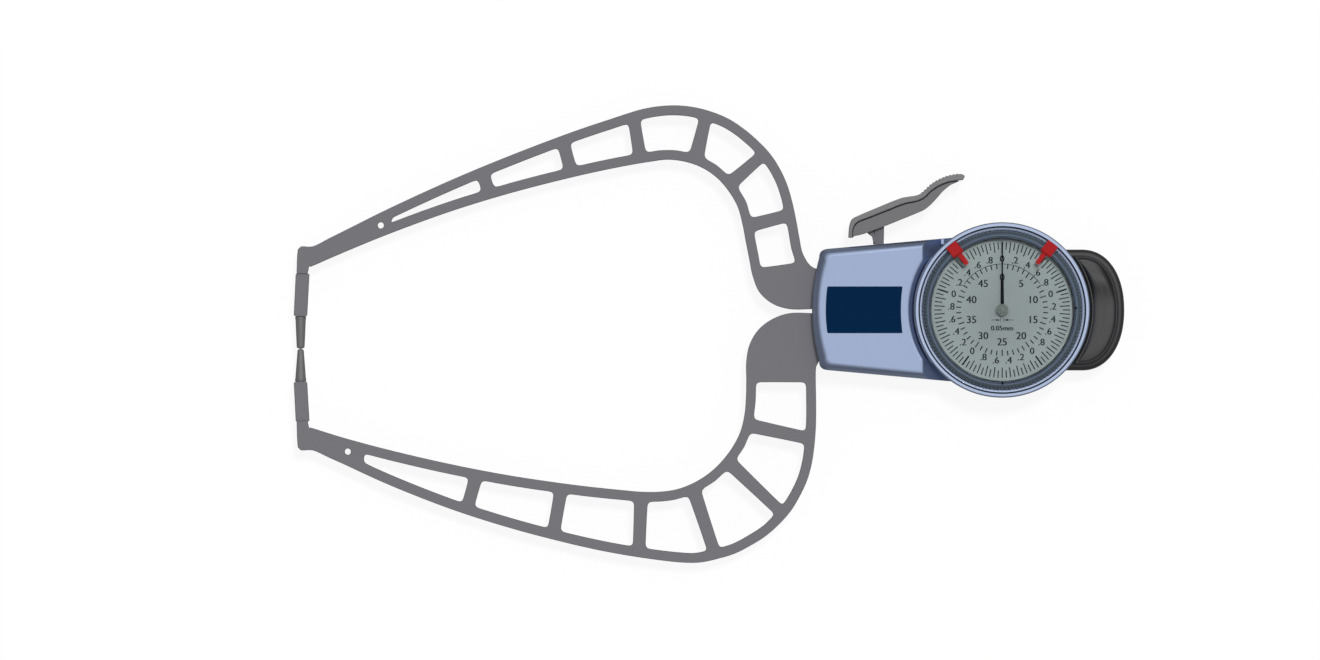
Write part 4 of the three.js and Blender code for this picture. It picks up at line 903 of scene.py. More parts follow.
class Pattern(Nodes):
    """A node tree that sets copies of a small shape on the points of its own piece.

    Each point's turn is read from the piece's own attributes, and on request its size too.
    """

    def __init__(self, name: str) -> None:
        """Starts an empty tree with its ends."""
        super().__init__(bpy.data.node_groups.new(name, "GeometryNodeTree"))
        for way in ("INPUT", "OUTPUT"):
            self.tree.interface.new_socket(
                "Geometry", in_out=way, socket_type="NodeSocketGeometry"
            )
        self.source = self.add("NodeGroupInput")
        self.result = self.add("NodeGroupOutput")

    def size(self, label: str, value: float) -> bpy.types.NodeSocket:
        """Adds a named size to the tree's inputs, in metres, and returns its socket."""
        made = self.tree.interface.new_socket(
            label, in_out="INPUT", socket_type="NodeSocketFloat"
        )
        made.default_value = value
        return self.source.outputs[label]

    def values(self, label: str, kind: str = "FLOAT") -> bpy.types.NodeSocket:
        """Reads a named attribute of the points."""
        read = self.add("GeometryNodeInputNamedAttribute", {"Name": label}, data_type=kind)
        return read.outputs["Attribute"]

    def moved(self, shape: bpy.types.NodeSocket, **inputs: object) -> bpy.types.NodeSocket:
        """Moves or turns a shape and returns it."""
        return self.add("GeometryNodeTransform", {"Geometry": shape, **inputs}).outputs[0]

    def scatter(
        self, shape: bpy.types.NodeSocket, finish: Finish, scaled: bool = True
    ) -> None:
        """Ends the tree: copies of the shape on the points, made real and dressed.

        Args:
            shape: The geometry to copy.
            finish: The finish of the copies.
            scaled: Whether the points' sizes scale the copies.
        """
        turn = self.add("ShaderNodeCombineXYZ", {"Z": self.values("turn")})
        spread = self.add("GeometryNodeInstanceOnPoints", {
            "Points": self.source.outputs["Geometry"], "Instance": shape,
            "Rotation": turn.outputs[0],
        })
        if scaled:
            self.feed(spread.inputs["Scale"], self.values("size", "FLOAT_VECTOR"))
        real = self.add("GeometryNodeRealizeInstances", {0: spread.outputs[0]})
        dress = self.add("GeometryNodeSetMaterial", {
            "Geometry": real.outputs[0], "Material": finish.material(),
        })
        self.feed(self.result.inputs[0], dress.outputs[0])


@dataclass(frozen=True)
class Spot:
    """Where one copy of a repeated shape stands.

    Attributes:
        place: Its place in millimetres.
        turn: Its turn about Z in radians.
        size: Its length, width and height in millimetres.
    """

    place: tuple[float, float, float]
    turn: float = 0.0
    size: tuple[float, float, float] = (1.0, 1.0, 1.0)


def repeated(
    name: str, pattern: Pattern, spots: Sequence[Spot], **sizes: float
) -> bpy.types.Object:
    """Runs a pattern on a list of spots and returns the plain mesh.

    Args:
        name: The piece's name.
        pattern: The node tree.
        spots: Where the copies stand.
        sizes: Values of the tree's named inputs, in millimetres.

    Returns:
        The new object.
    """
    mesh = bpy.data.meshes.new(name)
    mesh.from_pydata([Vector(s.place) * MM for s in spots], [], [])
    turns = mesh.attributes.new("turn", "FLOAT", "POINT")
    turns.data.foreach_set("value", [s.turn for s in spots])
    scales = mesh.attributes.new("size", "FLOAT_VECTOR", "POINT")
    scales.data.foreach_set("vector", [v * MM for s in spots for v in s.size])
    piece = linked(name, mesh)
    step = piece.modifiers.new("pattern", "NODES")
    step.node_group = pattern.tree
    for item in pattern.tree.interface.items_tree:
        if item.in_out == "INPUT" and item.name in sizes:
            step[item.identifier] = sizes[item.name] * MM
    return settled(piece)


def bar_pattern(finish: Finish) -> Pattern:
    """Makes the pattern of plain bars, whose sizes the spots give."""
    made = Pattern(f"bars_{finish.name}")
    made.scatter(made.add("GeometryNodeMeshCube").outputs[0], finish)
    return made


def screw_pattern(finish: Finish) -> Pattern:
    """Makes the pattern of slotted screw heads, with a bevelled rim.

    Args:
        finish: The screws' finish.

    Returns:
        The node tree.
    """
    made = Pattern(f"screws_{finish.name}")
    radius, height = made.size("radius", 0.002), made.size("height", 0.001)
    slot = made.size("slot", 0.0005)

    def raised(shape: bpy.types.Node, share: float) -> bpy.types.NodeSocket:
        """Lifts a shape by a share of the head's height."""
        lift = made.add("ShaderNodeCombineXYZ", {"Z": made.math("MULTIPLY", height, share)})
        return made.moved(shape.outputs[0], Translation=lift.outputs[0])

    crown = made.add("GeometryNodeMeshCone", {
        "Vertices": SCREW_FACETS, "Radius Bottom": radius,
        "Radius Top": made.math("MULTIPLY", radius, SCREW_CROWN_RADIUS),
        "Depth": made.math("MULTIPLY", height, SCREW_CROWN_HEIGHT),
    })
    rim = made.add("GeometryNodeMeshCylinder", {
        "Vertices": SCREW_FACETS, "Radius": radius, "Depth": height,
    })
    size = made.add("ShaderNodeCombineXYZ", {"X": SLOT_LENGTH * MM, "Y": slot, "Z": height})
    cutter = made.add("GeometryNodeMeshCube", {"Size": size.outputs[0]})
    union = made.add("GeometryNodeMeshBoolean", operation="UNION")
    for shape in (rim.outputs[0], raised(crown, 0.5)):
        made.feed(union.inputs["Mesh 2"], shape)
    slotted = made.add("GeometryNodeMeshBoolean", operation="DIFFERENCE")
    made.fill(slotted, {"Mesh 1": union.outputs[0], "Mesh 2": raised(cutter, SLOT_LIFT)})
    made.scatter(slotted.outputs[0], finish, scaled=False)
    return made


# Arms and contacts


@dataclass(frozen=True)
class SkeletonArm:
    """One of the two long arms, with its contact at the tip.

    Attributes:
        name: The arm's solid.
        body: The body it moves with.
        edge: Radius of the plate's edges.
        sleeve: Lowest point and length of the contact's sleeve along Y.
        pin: Radii of the contact's foot and tip, and its length.
        tip_up: Whether the contact points to +Y.
        half: Half the sleeve's width and height.
        slant: How far the sleeve leans to the arm.
        sleeve_edge: Radius of the sleeve's edges.
        bore: Radius of the sleeve's hole.
        nose_share: Height of the contact's nose as a share of its radius.
    """

    name: str
    body: str
    sleeve: tuple[float, float]
    pin: tuple[float, float, float]
    tip_up: bool
    edge: float = 0.3
    half: float = 2.55
    slant: float = 0.72
    sleeve_edge: float = 0.45
    bore: float = 1.65
    nose_share: float = 0.55

    def build(self) -> None:
        """Builds the arm's plate, its sleeve and its contact."""
        outlines = outlines_at(self.name, ARM_LEVELS[1])
        drawn = [flowing(outline, 1.6) for outline in outlines]
        arm = smoothed(plate(self.name + "_plate", drawn, ARM_LEVELS, self.edge))
        dressed(arm, ARM_METAL, self.body, self.name)
        side = "fixed" if self.tip_up else "moving"
        self.build_sleeve(f"{side}_contact_sleeve")
        self.build_contact(f"{side}_contact")

    def build_sleeve(self, node: str) -> None:
        """Builds the flat sided sleeve that holds the contact and leans a little to the arm."""
        low, length = self.sleeve
        mouth, root = (low + length, low) if self.tip_up else (low, low + length)
        inward = math.copysign(0.6, root - mouth)
        left, right, lean = CONTACT_X - self.half, CONTACT_X + self.half, self.slant
        outline = [
            (left + 0.6, mouth), (right - 0.6, mouth), (right - 0.1, mouth + inward),
            (right + lean, root - inward / 2), (right + lean - 0.3, root),
            (left + lean + 0.3, root), (left + lean, root - inward / 2),
            (left, mouth + inward),
        ]
        levels = (CONTACT_Z - self.half, CONTACT_Z + self.half)
        sleeve = plate(node + "_shape", [outline], levels, self.sleeve_edge, 4)
        dressed(smoothed(sleeve), ARM_METAL, self.body, node)

    def build_contact(self, node: str) -> None:
        """Turns the hardened contact: a collar, a long cone and a rounded nose."""
        foot, tip, length = self.pin
        low, sleeve_length = self.sleeve
        shank = self.bore - 0.1
        bulge = tip * self.nose_share
        nose = oval((0.0, length - bulge), (tip, bulge), 0, 75, 5)
        profile = [
            (0.0, 2.0 - sleeve_length), (shank, 2.0 - sleeve_length), (shank, 0.02),
            (foot - 0.2, 0.02), (foot, 0.25), (foot, 0.9), (foot - 0.1, 1.05),
            *nose, (0.0, length),
        ]
        contact = turned(node + "_turned", profile, facets=SMALL_FACETS)
        seat = low + sleeve_length if self.tip_up else low
        turned_to_y(contact, CONTACT_X, seat, up=self.tip_up)
        dressed(smoothed(contact, 20), CONTACT_STEEL, self.body, node)


# Housing


@dataclass(frozen=True)
class NeckShape:
    """The neck of the housing seen from the front.

    Attributes:
        left: Its left side along X.
        right: Where it ends under the dial head.
        top: Height of its upper side at the left and at the right.
        bottom: Height of its lower side at the left and at the right.
        bow: How far the left side bows out.
        corner: Rounding of the left corners.
    """

    left: float = -68.4
    right: float = -16.9
    top: Point = (22.7, 27.3)
    bottom: Point = (-22.3, -27.0)
    bow: float = 2.7
    corner: float = 3.0

    def side(self, x: float, ends: Point) -> float:
        """Returns the height of a side at x."""
        share = (x - self.left) / (self.right - self.left)
        return ends[0] + (ends[1] - ends[0]) * share

    def outline(self, left: float, top: float, bottom: float, right: float) -> list[Point]:
        """Draws the neck, drawn in by an inset on each side.

        Args:
            left: Inset of the left side.
            top: Inset of the upper side.
            bottom: Inset of the lower side.
            right: Where it ends along X.

        Returns:
            The outline, from the lower right corner.
        """
        x, corner = self.left + left, self.corner

        def upper(at: float) -> float:
            """Returns the upper side's height."""
            return self.side(at, self.top) - top

        def lower(at: float) -> float:
            """Returns the lower side's height."""
            return self.side(at, self.bottom) + bottom

        first = (x, upper(x) - corner)
        last = (x, lower(x) + corner)
        return [
            (right, lower(right)),
            (right, upper(right)),
            *bow((x + corner, upper(x + corner)), (x - 0.1, upper(x)), first, 9)[:-1],
            *bow(first, (x - 2 * self.bow, 0.0), last, 28),
            *bow(last, (x - 0.1, lower(x)), (x + corner, lower(x + corner)), 9)[1:],
        ]

    def block(self, name: str, inset: float, levels: Point, right: float) -> bpy.types.Object:
        """Returns an upright block of the neck's shape, drawn in all round."""
        shape = self.outline(inset, inset, inset, right)
        return lofted(name, [(levels[0], shape), (levels[1], shape)])


def rounding(steps: int) -> list[tuple[float, float]]:
    """Returns (inset, rise) shares of a quarter round that goes up and over."""
    turns = [math.pi / 2 * step / steps for step in range(steps + 1)]
    return [(1 - math.cos(a), math.sin(a)) for a in turns]


@dataclass(frozen=True)
class Housing:
    """The two shells of the housing with their seal, name plate and back screws."""

    neck: NeckShape = NeckShape()
    head: float = 31.5
    wall: float = 2.5
    split: tuple[float, float] = (8.4, 8.8)
    face_insets: tuple[float, float, float] = (2.9, 3.0, 3.0)
    face_round: float = 3.5
    face_right: float = -30.2
    slope: tuple[Point, ...] = (
        (-30.2, 24.0), (-29.5, 23.7), (-26.4, 20.3), (-21.5, 16.2), (-16.0, 13.4),
    )
    groove_radius: float = 33.05
    face_arc: float = 35.9
    groove_level: float = 20.2
    ceiling: float = 21.5
    low_ceiling: float = 15.9
    room_right: float = -24.0
    gear_room: tuple[float, float, float] = (-38.0, 17.0, 19.9)
    mouth: tuple[float, float] = (-65.5, 15.3)
    mouth_start: Point = (-77, -21.1)
    mouth_end: float = 26.7
    stem_slot: tuple[float, float] = (-48.6, -36.5)
    stem_slot_ends: Point = (19.2, 30.0)
    plate_seat: Point = (23.5, 25.0)
    head_drop: float = 0.8
    floor: float = 2.5
    flange: Point = (2.4, 12.0)
    flange_edge: float = 0.4
    screw_level: float = -0.75
    back_round: float = 1.2
    screw_pattern_sizes: tuple[float, float, float] = (2.1, 1.4, 0.5)
    screw_spots: tuple[Point, ...] = (
        (-57.0, 19.2), (-56.0, -19.3), (21.0, 17.0), (21.0, -17.0), (37.0, 9.0), (37.0, -9.0),
    )

    def build(self) -> None:
        """Builds every piece of the housing."""
        dressed(self.front(), HOUSING_PAINT, "housing_body", "front_shell")
        dressed(self.back(), HOUSING_PAINT, "housing_body", "rear_shell")
        dressed(self.name_plate(), PLATE_BLUE, "housing_body", "name_plate")
        self.back_screws()
        kept(SEAL_RUBBER, "shell_gasket")
        kept(SLIP_PLASTIC, "bezel_slip_ring")

    def front(self) -> bpy.types.Object:
        """Builds the front shell: a neck with soft edges that meets the dial head.

        Returns:
            The finished shape.
        """
        low, high = node_levels("front_shell")
        foot = high - self.face_round
        rings = [(low, self.neck.outline(0, 0, 0, self.neck.right))]
        for inset, rise in rounding(12):
            insets = [side * inset for side in self.face_insets]
            shape = self.neck.outline(*insets, self.neck.right)
            rings.append((foot + self.face_round * rise, shape))
        shell = lofted("front_shell_shape", rings)
        head_top = high - self.head_drop
        head = drum("head", self.head, low, head_top)
        reach = (self.groove_radius - self.face_arc, high - self.groove_level)
        arc_cut = oval((self.face_arc, self.groove_level), reach, 90, 0, 10)
        ring_room = turned(
            "ring_room",
            [(self.head - 0.4, high + 2), (self.head - 0.4, self.groove_level),
             *arc_cut[::-1], (self.face_arc, high + 2)],
            facets=RING_FACETS,
        )
        without(shell, self.slope_cutter(high), ring_room)
        unite(shell, head)
        top_room = drum("top_room", self.groove_radius - 1.0, head_top, high + 2)
        without(shell, top_room, *self.rooms(low - 1, high + 1))
        unite(shell, self.seam_rib(foot))
        return smoothed(shell, 28)

    def slope_cutter(self, high: float) -> bpy.types.Object:
        """Returns the helper that slopes the face's right side down to the head."""
        run = flowing(self.slope, 0.5, closed=False)
        section = [*run, (0.0, run[-1][1]), (0.0, high + 1), (self.face_right, high + 1)]
        return swept("slope", section, self.head + 4.5)

    def rooms(self, low: float, high: float) -> list[bpy.types.Object]:
        """Returns the helpers that hollow the front shell and open its mouths."""
        inner = self.head - self.wall
        mouth_right, mouth_top = self.mouth
        slot_left, slot_right = self.stem_slot
        slot_low, slot_high = self.stem_slot_ends
        gear_left, gear_half, gear_top = self.gear_room
        top = ARM_LEVELS[1] + 0.3
        right = self.room_right
        return [
            self.neck.block("room", self.wall, (low, self.ceiling), gear_left + 1),
            self.neck.block("room", self.wall, (low, self.low_ceiling), right),
            block("gear_room", (gear_left, -gear_half, low), (right, gear_half, gear_top)),
            drum("room", inner, low, high, ROOM_FACETS),
            block("mouth", (*self.mouth_start, low), (mouth_right, self.mouth_end, mouth_top)),
            block("slot", (slot_left, slot_low, low), (slot_right, slot_high, top)),
            lofted("seat", [(level, plate_outline(0.1)) for level in self.plate_seat]),
        ]

    def seam_rib(self, foot: float) -> bpy.types.Object:
        """Returns the short raised rib where the neck's upper side meets the head."""
        rib = [(-22.9, 24.6), (-21.7, 24.6), (-21.7, 26.8), (-22.9, 26.7)]
        top = foot + 0.4
        return lofted("rib", [(foot - 6, rib), (top, rib), (top + 0.15, inset_about(rib, 0.15))])

    def back(self) -> bpy.types.Object:
        """Builds the rear shell: a tray with a rounded back edge and a flange for the grip.

        Returns:
            The finished shape.
        """
        top, rounded = self.split[0], self.back_round
        rings = []
        for inset, rise in reversed(rounding(5)):
            shape = self.neck.outline(*[inset * rounded] * 3, self.neck.right)
            rings.append((rounded * (1 - rise), shape))
        rings.append((top, self.neck.outline(0, 0, 0, self.neck.right)))
        shell = lofted("rear_shell_shape", rings)
        edge = [(self.head - rounded * i, rounded * (1 - r)) for i, r in reversed(rounding(5))]
        unite(shell, turned("head", [(0, 0), *edge, (self.head, top), (0, top)]))
        flange, chamfer = GripShape().outline(*self.flange), self.flange_edge
        rings = [(0.0, inset_about(flange, chamfer)), (chamfer, flange), (self.floor, flange)]
        unite(shell, lofted("flange", rings))
        rooms = [
            self.neck.block("room", self.wall, (self.floor, top + 1), self.room_right),
            drum("room", self.head - self.wall, self.floor, top + 1, ROOM_FACETS),
        ]
        radius = self.screw_pattern_sizes[0] + 0.3
        seat = [(0, -1), (radius + 0.3, -1), (radius, 0.3), (radius, 1.5), (0, 1.5)]
        rooms += [turned("seat", seat, SCREW_FACETS, spot) for spot in self.screw_spots]
        return smoothed(without(shell, *rooms), 28)

    def back_screws(self) -> None:
        """Sets the six slotted screws of the back in their seats."""
        radius, height, slot = self.screw_pattern_sizes
        spots = [
            Spot((x, y, self.screw_level), turn=0.4 + 0.9 * i)
            for i, (x, y) in enumerate(self.screw_spots)
        ]
        screws = repeated(
            "back_screws", screw_pattern(SCREW_STEEL), spots,
            radius=radius, height=height, slot=slot,
        )
        screws.data.transform(Matrix.Scale(-1, 4, (0, 0, 1)))
        screws.data.flip_normals()
        names = ["neck_screw", "head_screw", "grip_screw"]
        solids = [f"{name}_{i}" for name in names for i in (1, 2)]
        placed(smoothed(screws, 30), "plain_steel", "housing_body", *solids)

    def name_plate(self) -> bpy.types.Object:
        """Builds the bare name plate, set in its shallow seat."""
        levels = node_levels("name_plate")
        return smoothed(plate("name_plate_shape", [plate_outline(0.0)], levels, 0.12))


def plate_outline(outset: float) -> list[Point]:
    """Draws the name plate, whose left side bows out and whose right side bows in.

    Args:
        outset: How far it is drawn out all round.

    Returns:
        The outline.
    """
    left, right = PLATE_SIDES[0] - outset, PLATE_SIDES[1] + outset
    bottom, top = PLATE_ENDS[0] - outset, PLATE_ENDS[1] + outset
    sides = [
        *bow((right, bottom), (right - PLATE_LEAN, 0.0), (right, top), 20),
        *bow((left, top), (left - PLATE_LEAN, 0.0), (left, bottom), 20),
    ]
    corners = (0, 20, 21, 41)
    made: list[Point] = []
    for i, here in enumerate(sides):
        if i not in corners:
            made.append(here)
            continue
        before, after = Vector(sides[i - 1]), Vector(sides[(i + 1) % len(sides)])
        spot = Vector(here)
        start = spot + (before - spot).normalized() * PLATE_CORNER
        end = spot + (after - spot).normalized() * PLATE_CORNER
        made.extend(bow(tuple(start), here, tuple(end), 4))
    return made


def block(name: str, low: Sequence[float], high: Sequence[float]) -> bpy.types.Object:
    """Returns a helper block between two corners."""
    floor = [(low[0], low[1]), (high[0], low[1]), (high[0], high[1]), (low[0], high[1])]
    return lofted(name, [(low[2], floor), (high[2], floor)])


def inset_about(outline: Sequence[Point], distance: float) -> list[Point]:
    """Draws a closed outline in towards its middle by about a distance."""
    middle = sum((Vector(p) for p in outline), Vector((0, 0))) / len(outline)
    made = []
    for point in outline:
        arm = Vector(point) - middle
        made.append(tuple(middle + arm * (1 - distance / arm.length)))
    return made


# Rear grip


@dataclass(frozen=True)
class GripShape:
    """The rounded rear end seen from the front: straight sides, then a half oval."""

    start: float = 18.0
    round_from: float = 30.0
    end: float = 46.0
    half: float = 22.7
    fullness: float = 0.92
    dense_side: int = 40
    dense_round: int = 240
    points_round: int = 96
    points_inside: int = 48

    def outline(self, inset: float, clear: float) -> list[Point]:
        """Draws the grip outside a circle about the dial axis.

        Args:
            inset: How far it is drawn in.
            clear: Radius of the circle.

        Returns:
            The outline, with the same number of points for any inset and circle.
        """
        half, width = self.half - inset, self.end - self.round_from - inset
        side, count, turns = self.round_from - self.start, self.dense_side, self.dense_round
        dense: list[Point] = [(self.start + side * s / count, -half) for s in range(count)]
        for step in range(turns + 1):
            angle = math.pi * (step / turns - 0.5)
            across, along = math.cos(angle), math.sin(angle)
            dense.append((
                self.round_from + width * max(0.0, across) ** self.fullness,
                half * math.copysign(abs(along) ** self.fullness, along),
            ))
        dense += [(self.round_from - side * s / count, half) for s in range(1, count + 1)]
        outside = [p for p in dense if math.hypot(*p) >= clear]
        run = evenly(outside, self.points_round)
        first, last = (math.degrees(math.atan2(y, x)) for x, y in (run[-1], run[0]))
        inner = arc(clear, first, last, self.points_inside)[1:-1]
        reach = [math.hypot(*run[-1]) / clear] * len(inner)
        return run + [(x * r, y * r) for (x, y), r in zip(inner, reach)]


def evenly(points: Sequence[Point], count: int) -> list[Point]:
    """Spreads a number of points evenly along an open run."""
    run = [Vector(p) for p in points]
    lengths = [0.0]
    for a, b in zip(run, run[1:]):
        lengths.append(lengths[-1] + (b - a).length)
    made, i = [], 0
    for step in range(count):
        at = lengths[-1] * step / (count - 1)
        while i < len(run) - 2 and lengths[i + 1] < at:
            i += 1
        share = (at - lengths[i]) / max(1e-9, lengths[i + 1] - lengths[i])
        made.append(tuple(run[i].lerp(run[i + 1], min(1.0, share))))
    return made


@dataclass(frozen=True)
class Grip:
    """The black rear grip: a rounded block with a rim and a hollowed face."""

    shape: GripShape = GripShape()
    head_room: float = 31.8
    bezel_room: float = 33.2
    bezel_room_level: float = 19.7
    edge: float = 2.0
    shoulder_drop: float = 1.6
    crest_drop: float = 1.0
    valley_drop: float = 1.4
    crown_rings: int = 22
    spine: tuple[float, float, float] = (38.4, 1.3, 9.0)
    swell: tuple[float, float, float] = (1.1, 11.0, 4.8)

    def build(self) -> None:
        """Builds the grip as one skin, from its foot over its rim to the crown of its face."""
        low, high = node_levels("rear_grip")
        rings: list[list[tuple[float, float, float]]] = []

        def add(level: float, inset: float, clear: float) -> None:
            """Adds one level ring."""
            rings.append([(x, y, level) for x, y in self.shape.outline(inset, clear)])

        for inset, rise in reversed(rounding(5)):
            add(low + self.edge * (1 - rise), self.edge / 2 * inset, self.head_room)
        for inset, rise in rounding(10):
            level = high - self.shoulder_drop - self.edge * (1 - rise)
            room = self.head_room if level < self.bezel_room_level else self.bezel_room
            add(level, self.edge * inset, room)
        crest, valley = high - self.crest_drop, high - self.valley_drop
        for level, inset, clear in (
            (crest - 0.15, self.edge + 0.7, 0.5), (crest, self.edge + 0.9, 0.7),
            (crest, self.edge + 1.1, 0.9), (valley, self.edge + 1.7, 1.2),
        ):
            add(level, inset, self.bezel_room + clear)
        rings += self.crown(rings[-1], high - valley - self.swell[0])
        grip = smoothed(skinned("rear_grip_shape", rings), 40)
        dressed(grip, GRIP_PLASTIC, "housing_body", "rear_grip")

    def crown(
        self, border: Sequence[tuple[float, float, float]], rise: float
    ) -> list[list[tuple[float, float, float]]]:
        """Returns the rings of the face, which rises softly to its middle and swells once.

        Args:
            border: The ring round the face.
            rise: How far its middle stands above the ring, with the swell.

        Returns:
            The rings, each smaller than the one before.
        """
        right, bend, reach = self.spine
        swell, swell_y, swell_width = self.swell
        made = []
        for step in range(1, self.crown_rings):
            share = 1 - step / self.crown_rings
            ring = []
            for point in border:
                along = max(-reach, min(reach, point[1]))
                middle = Vector((right - bend * (along / reach) ** 2, along, point[2]))
                place = middle.lerp(Vector(point), share)
                hump = swell * math.exp(-(((place.y - swell_y) / swell_width) ** 2))
                place.z += rise * (1 - share**5) + hump * (1 - share**5)
                ring.append(tuple(place))
            made.append(ring)
        return made


# Lever


@dataclass(frozen=True)
class Lever:
    """The finger lever on the upper arm's stem, with its pad and a painted shadow in their seam.

    Every outline is measured from the pivot.
    """

    levels: tuple[float, float] = (5.0, 19.0)
    body_inset: float = 0.4
    floor_lift: float = 0.55
    seam: float = 0.34
    shade_strip_rise: float = 0.12
    ridges: int = 13
    ridge_size: tuple[float, float, float] = (0.42, 0.42, 12.0)
    top: tuple[Point, ...] = (
        (5.3, 27.2), (5.7, 31.7), (6.6, 34.1), (8.2, 35.1), (15.9, 38.4), (24.9, 42), (28.1, 42.6),
        (31, 43.1), (33, 44.1), (37.1, 47.7), (41.1, 49.8), (44.8, 50.8), (47.6, 51.1),
    )
    thumb_end: tuple[Point, ...] = ((48.9, 50.3), (48.3, 48.9))
    split: tuple[Point, ...] = (
        (6.85, 27.2), (6.9, 29.6), (7.4, 31.2), (8.65, 32.7), (11, 33.7), (19.2, 36.9),
        (26.1, 39.6), (31.4, 40.8), (33.8, 42), (36.2, 44.3), (39.5, 46.5), (43.2, 47.9),
        (46.6, 48.3),
    )
    underside: tuple[Point, ...] = (
        (43.6, 46.4), (40.8, 44.1), (37.5, 40.4), (35, 38), (33, 36.7), (25.3, 33.5),
        (19.6, 31.2), (12.7, 28.6), (10.2, 27.8), (7.4, 27.2),
    )
    gusset: tuple[Point, ...] = (
        (12.3, 29.6), (12.6, 28.8), (14.2, 27.6), (14.9, 24.4), (14.9, 30.2),
    )

    def at_pivot(self, points: Sequence[Point], rise: float = 0.0) -> list[Point]:
        """Returns points measured from the pivot, in place."""
        return [(PIVOT[0] + x, PIVOT[1] + y + rise) for x, y in points]

    def build(self) -> None:
        """Builds the lever's body, pad, painted shadow in the seam, ridges and the gusset on the
        stem.
        """
        split = flowing(self.at_pivot(self.split), 0.8, closed=False)
        under = flowing(self.at_pivot(self.underside, self.floor_lift), 0.9, closed=False)
        body_levels = (self.levels[0] + self.body_inset, self.levels[1] - self.body_inset)
        body = smoothed(plate("finger_lever_body", [split + under], body_levels, 0.3, 4))
        dressed(body, LEVER_PLASTIC, "upper_arm_body", "finger_lever")
        pad_low = [(x - self.seam * 0.4, y + self.seam) for x, y in split]
        pad_low[0] = (pad_low[0][0], split[0][1])
        pad_top = flowing(self.at_pivot(self.top), 0.7, closed=False, sharp=60)
        end = flowing(self.at_pivot((self.top[-1], *self.thumb_end)), 0.3, closed=False, sharp=120)
        outline = pad_top + end[1:] + pad_low[::-1]
        pad = smoothed(plate("lever_pad_shape", [outline], self.levels, 0.5, 4))
        dressed(pad, PAD_PLASTIC, "upper_arm_body", "lever_pad")
        # A dark strip fills the gap of the seam: painted shade where there is only shadow
        shade_strip_levels = tuple(
            level + side * self.shade_strip_rise for level, side in zip(body_levels, (-1, 1))
        )
        strip = [(x + 0.03, y - 0.05) for x, y in split] + pad_low[::-1]
        seam = smoothed(plate("lever_seam_painted_shade", [strip], shade_strip_levels, 0.05, 1))
        dressed(seam, SEAL_RUBBER, "upper_arm_body")
        foot = flowing(self.at_pivot(self.gusset), 0.4, sharp=40)
        gusset = smoothed(plate("stem_gusset", [foot], ARM_LEVELS, 0.3))
        dressed(gusset, ARM_METAL, "upper_arm_body")
        self.build_ridges()
        kept(SCREW_STEEL, "lever_pin")

    def build_ridges(self) -> None:
        """Sets the grip ridges across the pad where the thumb rests."""
        run = evenly(flowing(self.at_pivot(self.top[8:]), 0.3, closed=False), self.ridges)
        middle = sum(self.levels) / 2
        spots = []
        for i, (x, y) in enumerate(run[:-1]):
            along = Vector(run[i + 1]) - Vector((x, y))
            spots.append(Spot((x, y, middle), math.atan2(along.y, along.x), self.ridge_size))
        ridges = repeated("thumb_ridges", bar_pattern(PAD_PLASTIC), spots)
        placed(ridges, PAD_PLASTIC.slot, "upper_arm_body")


# Bezel, lens and dial


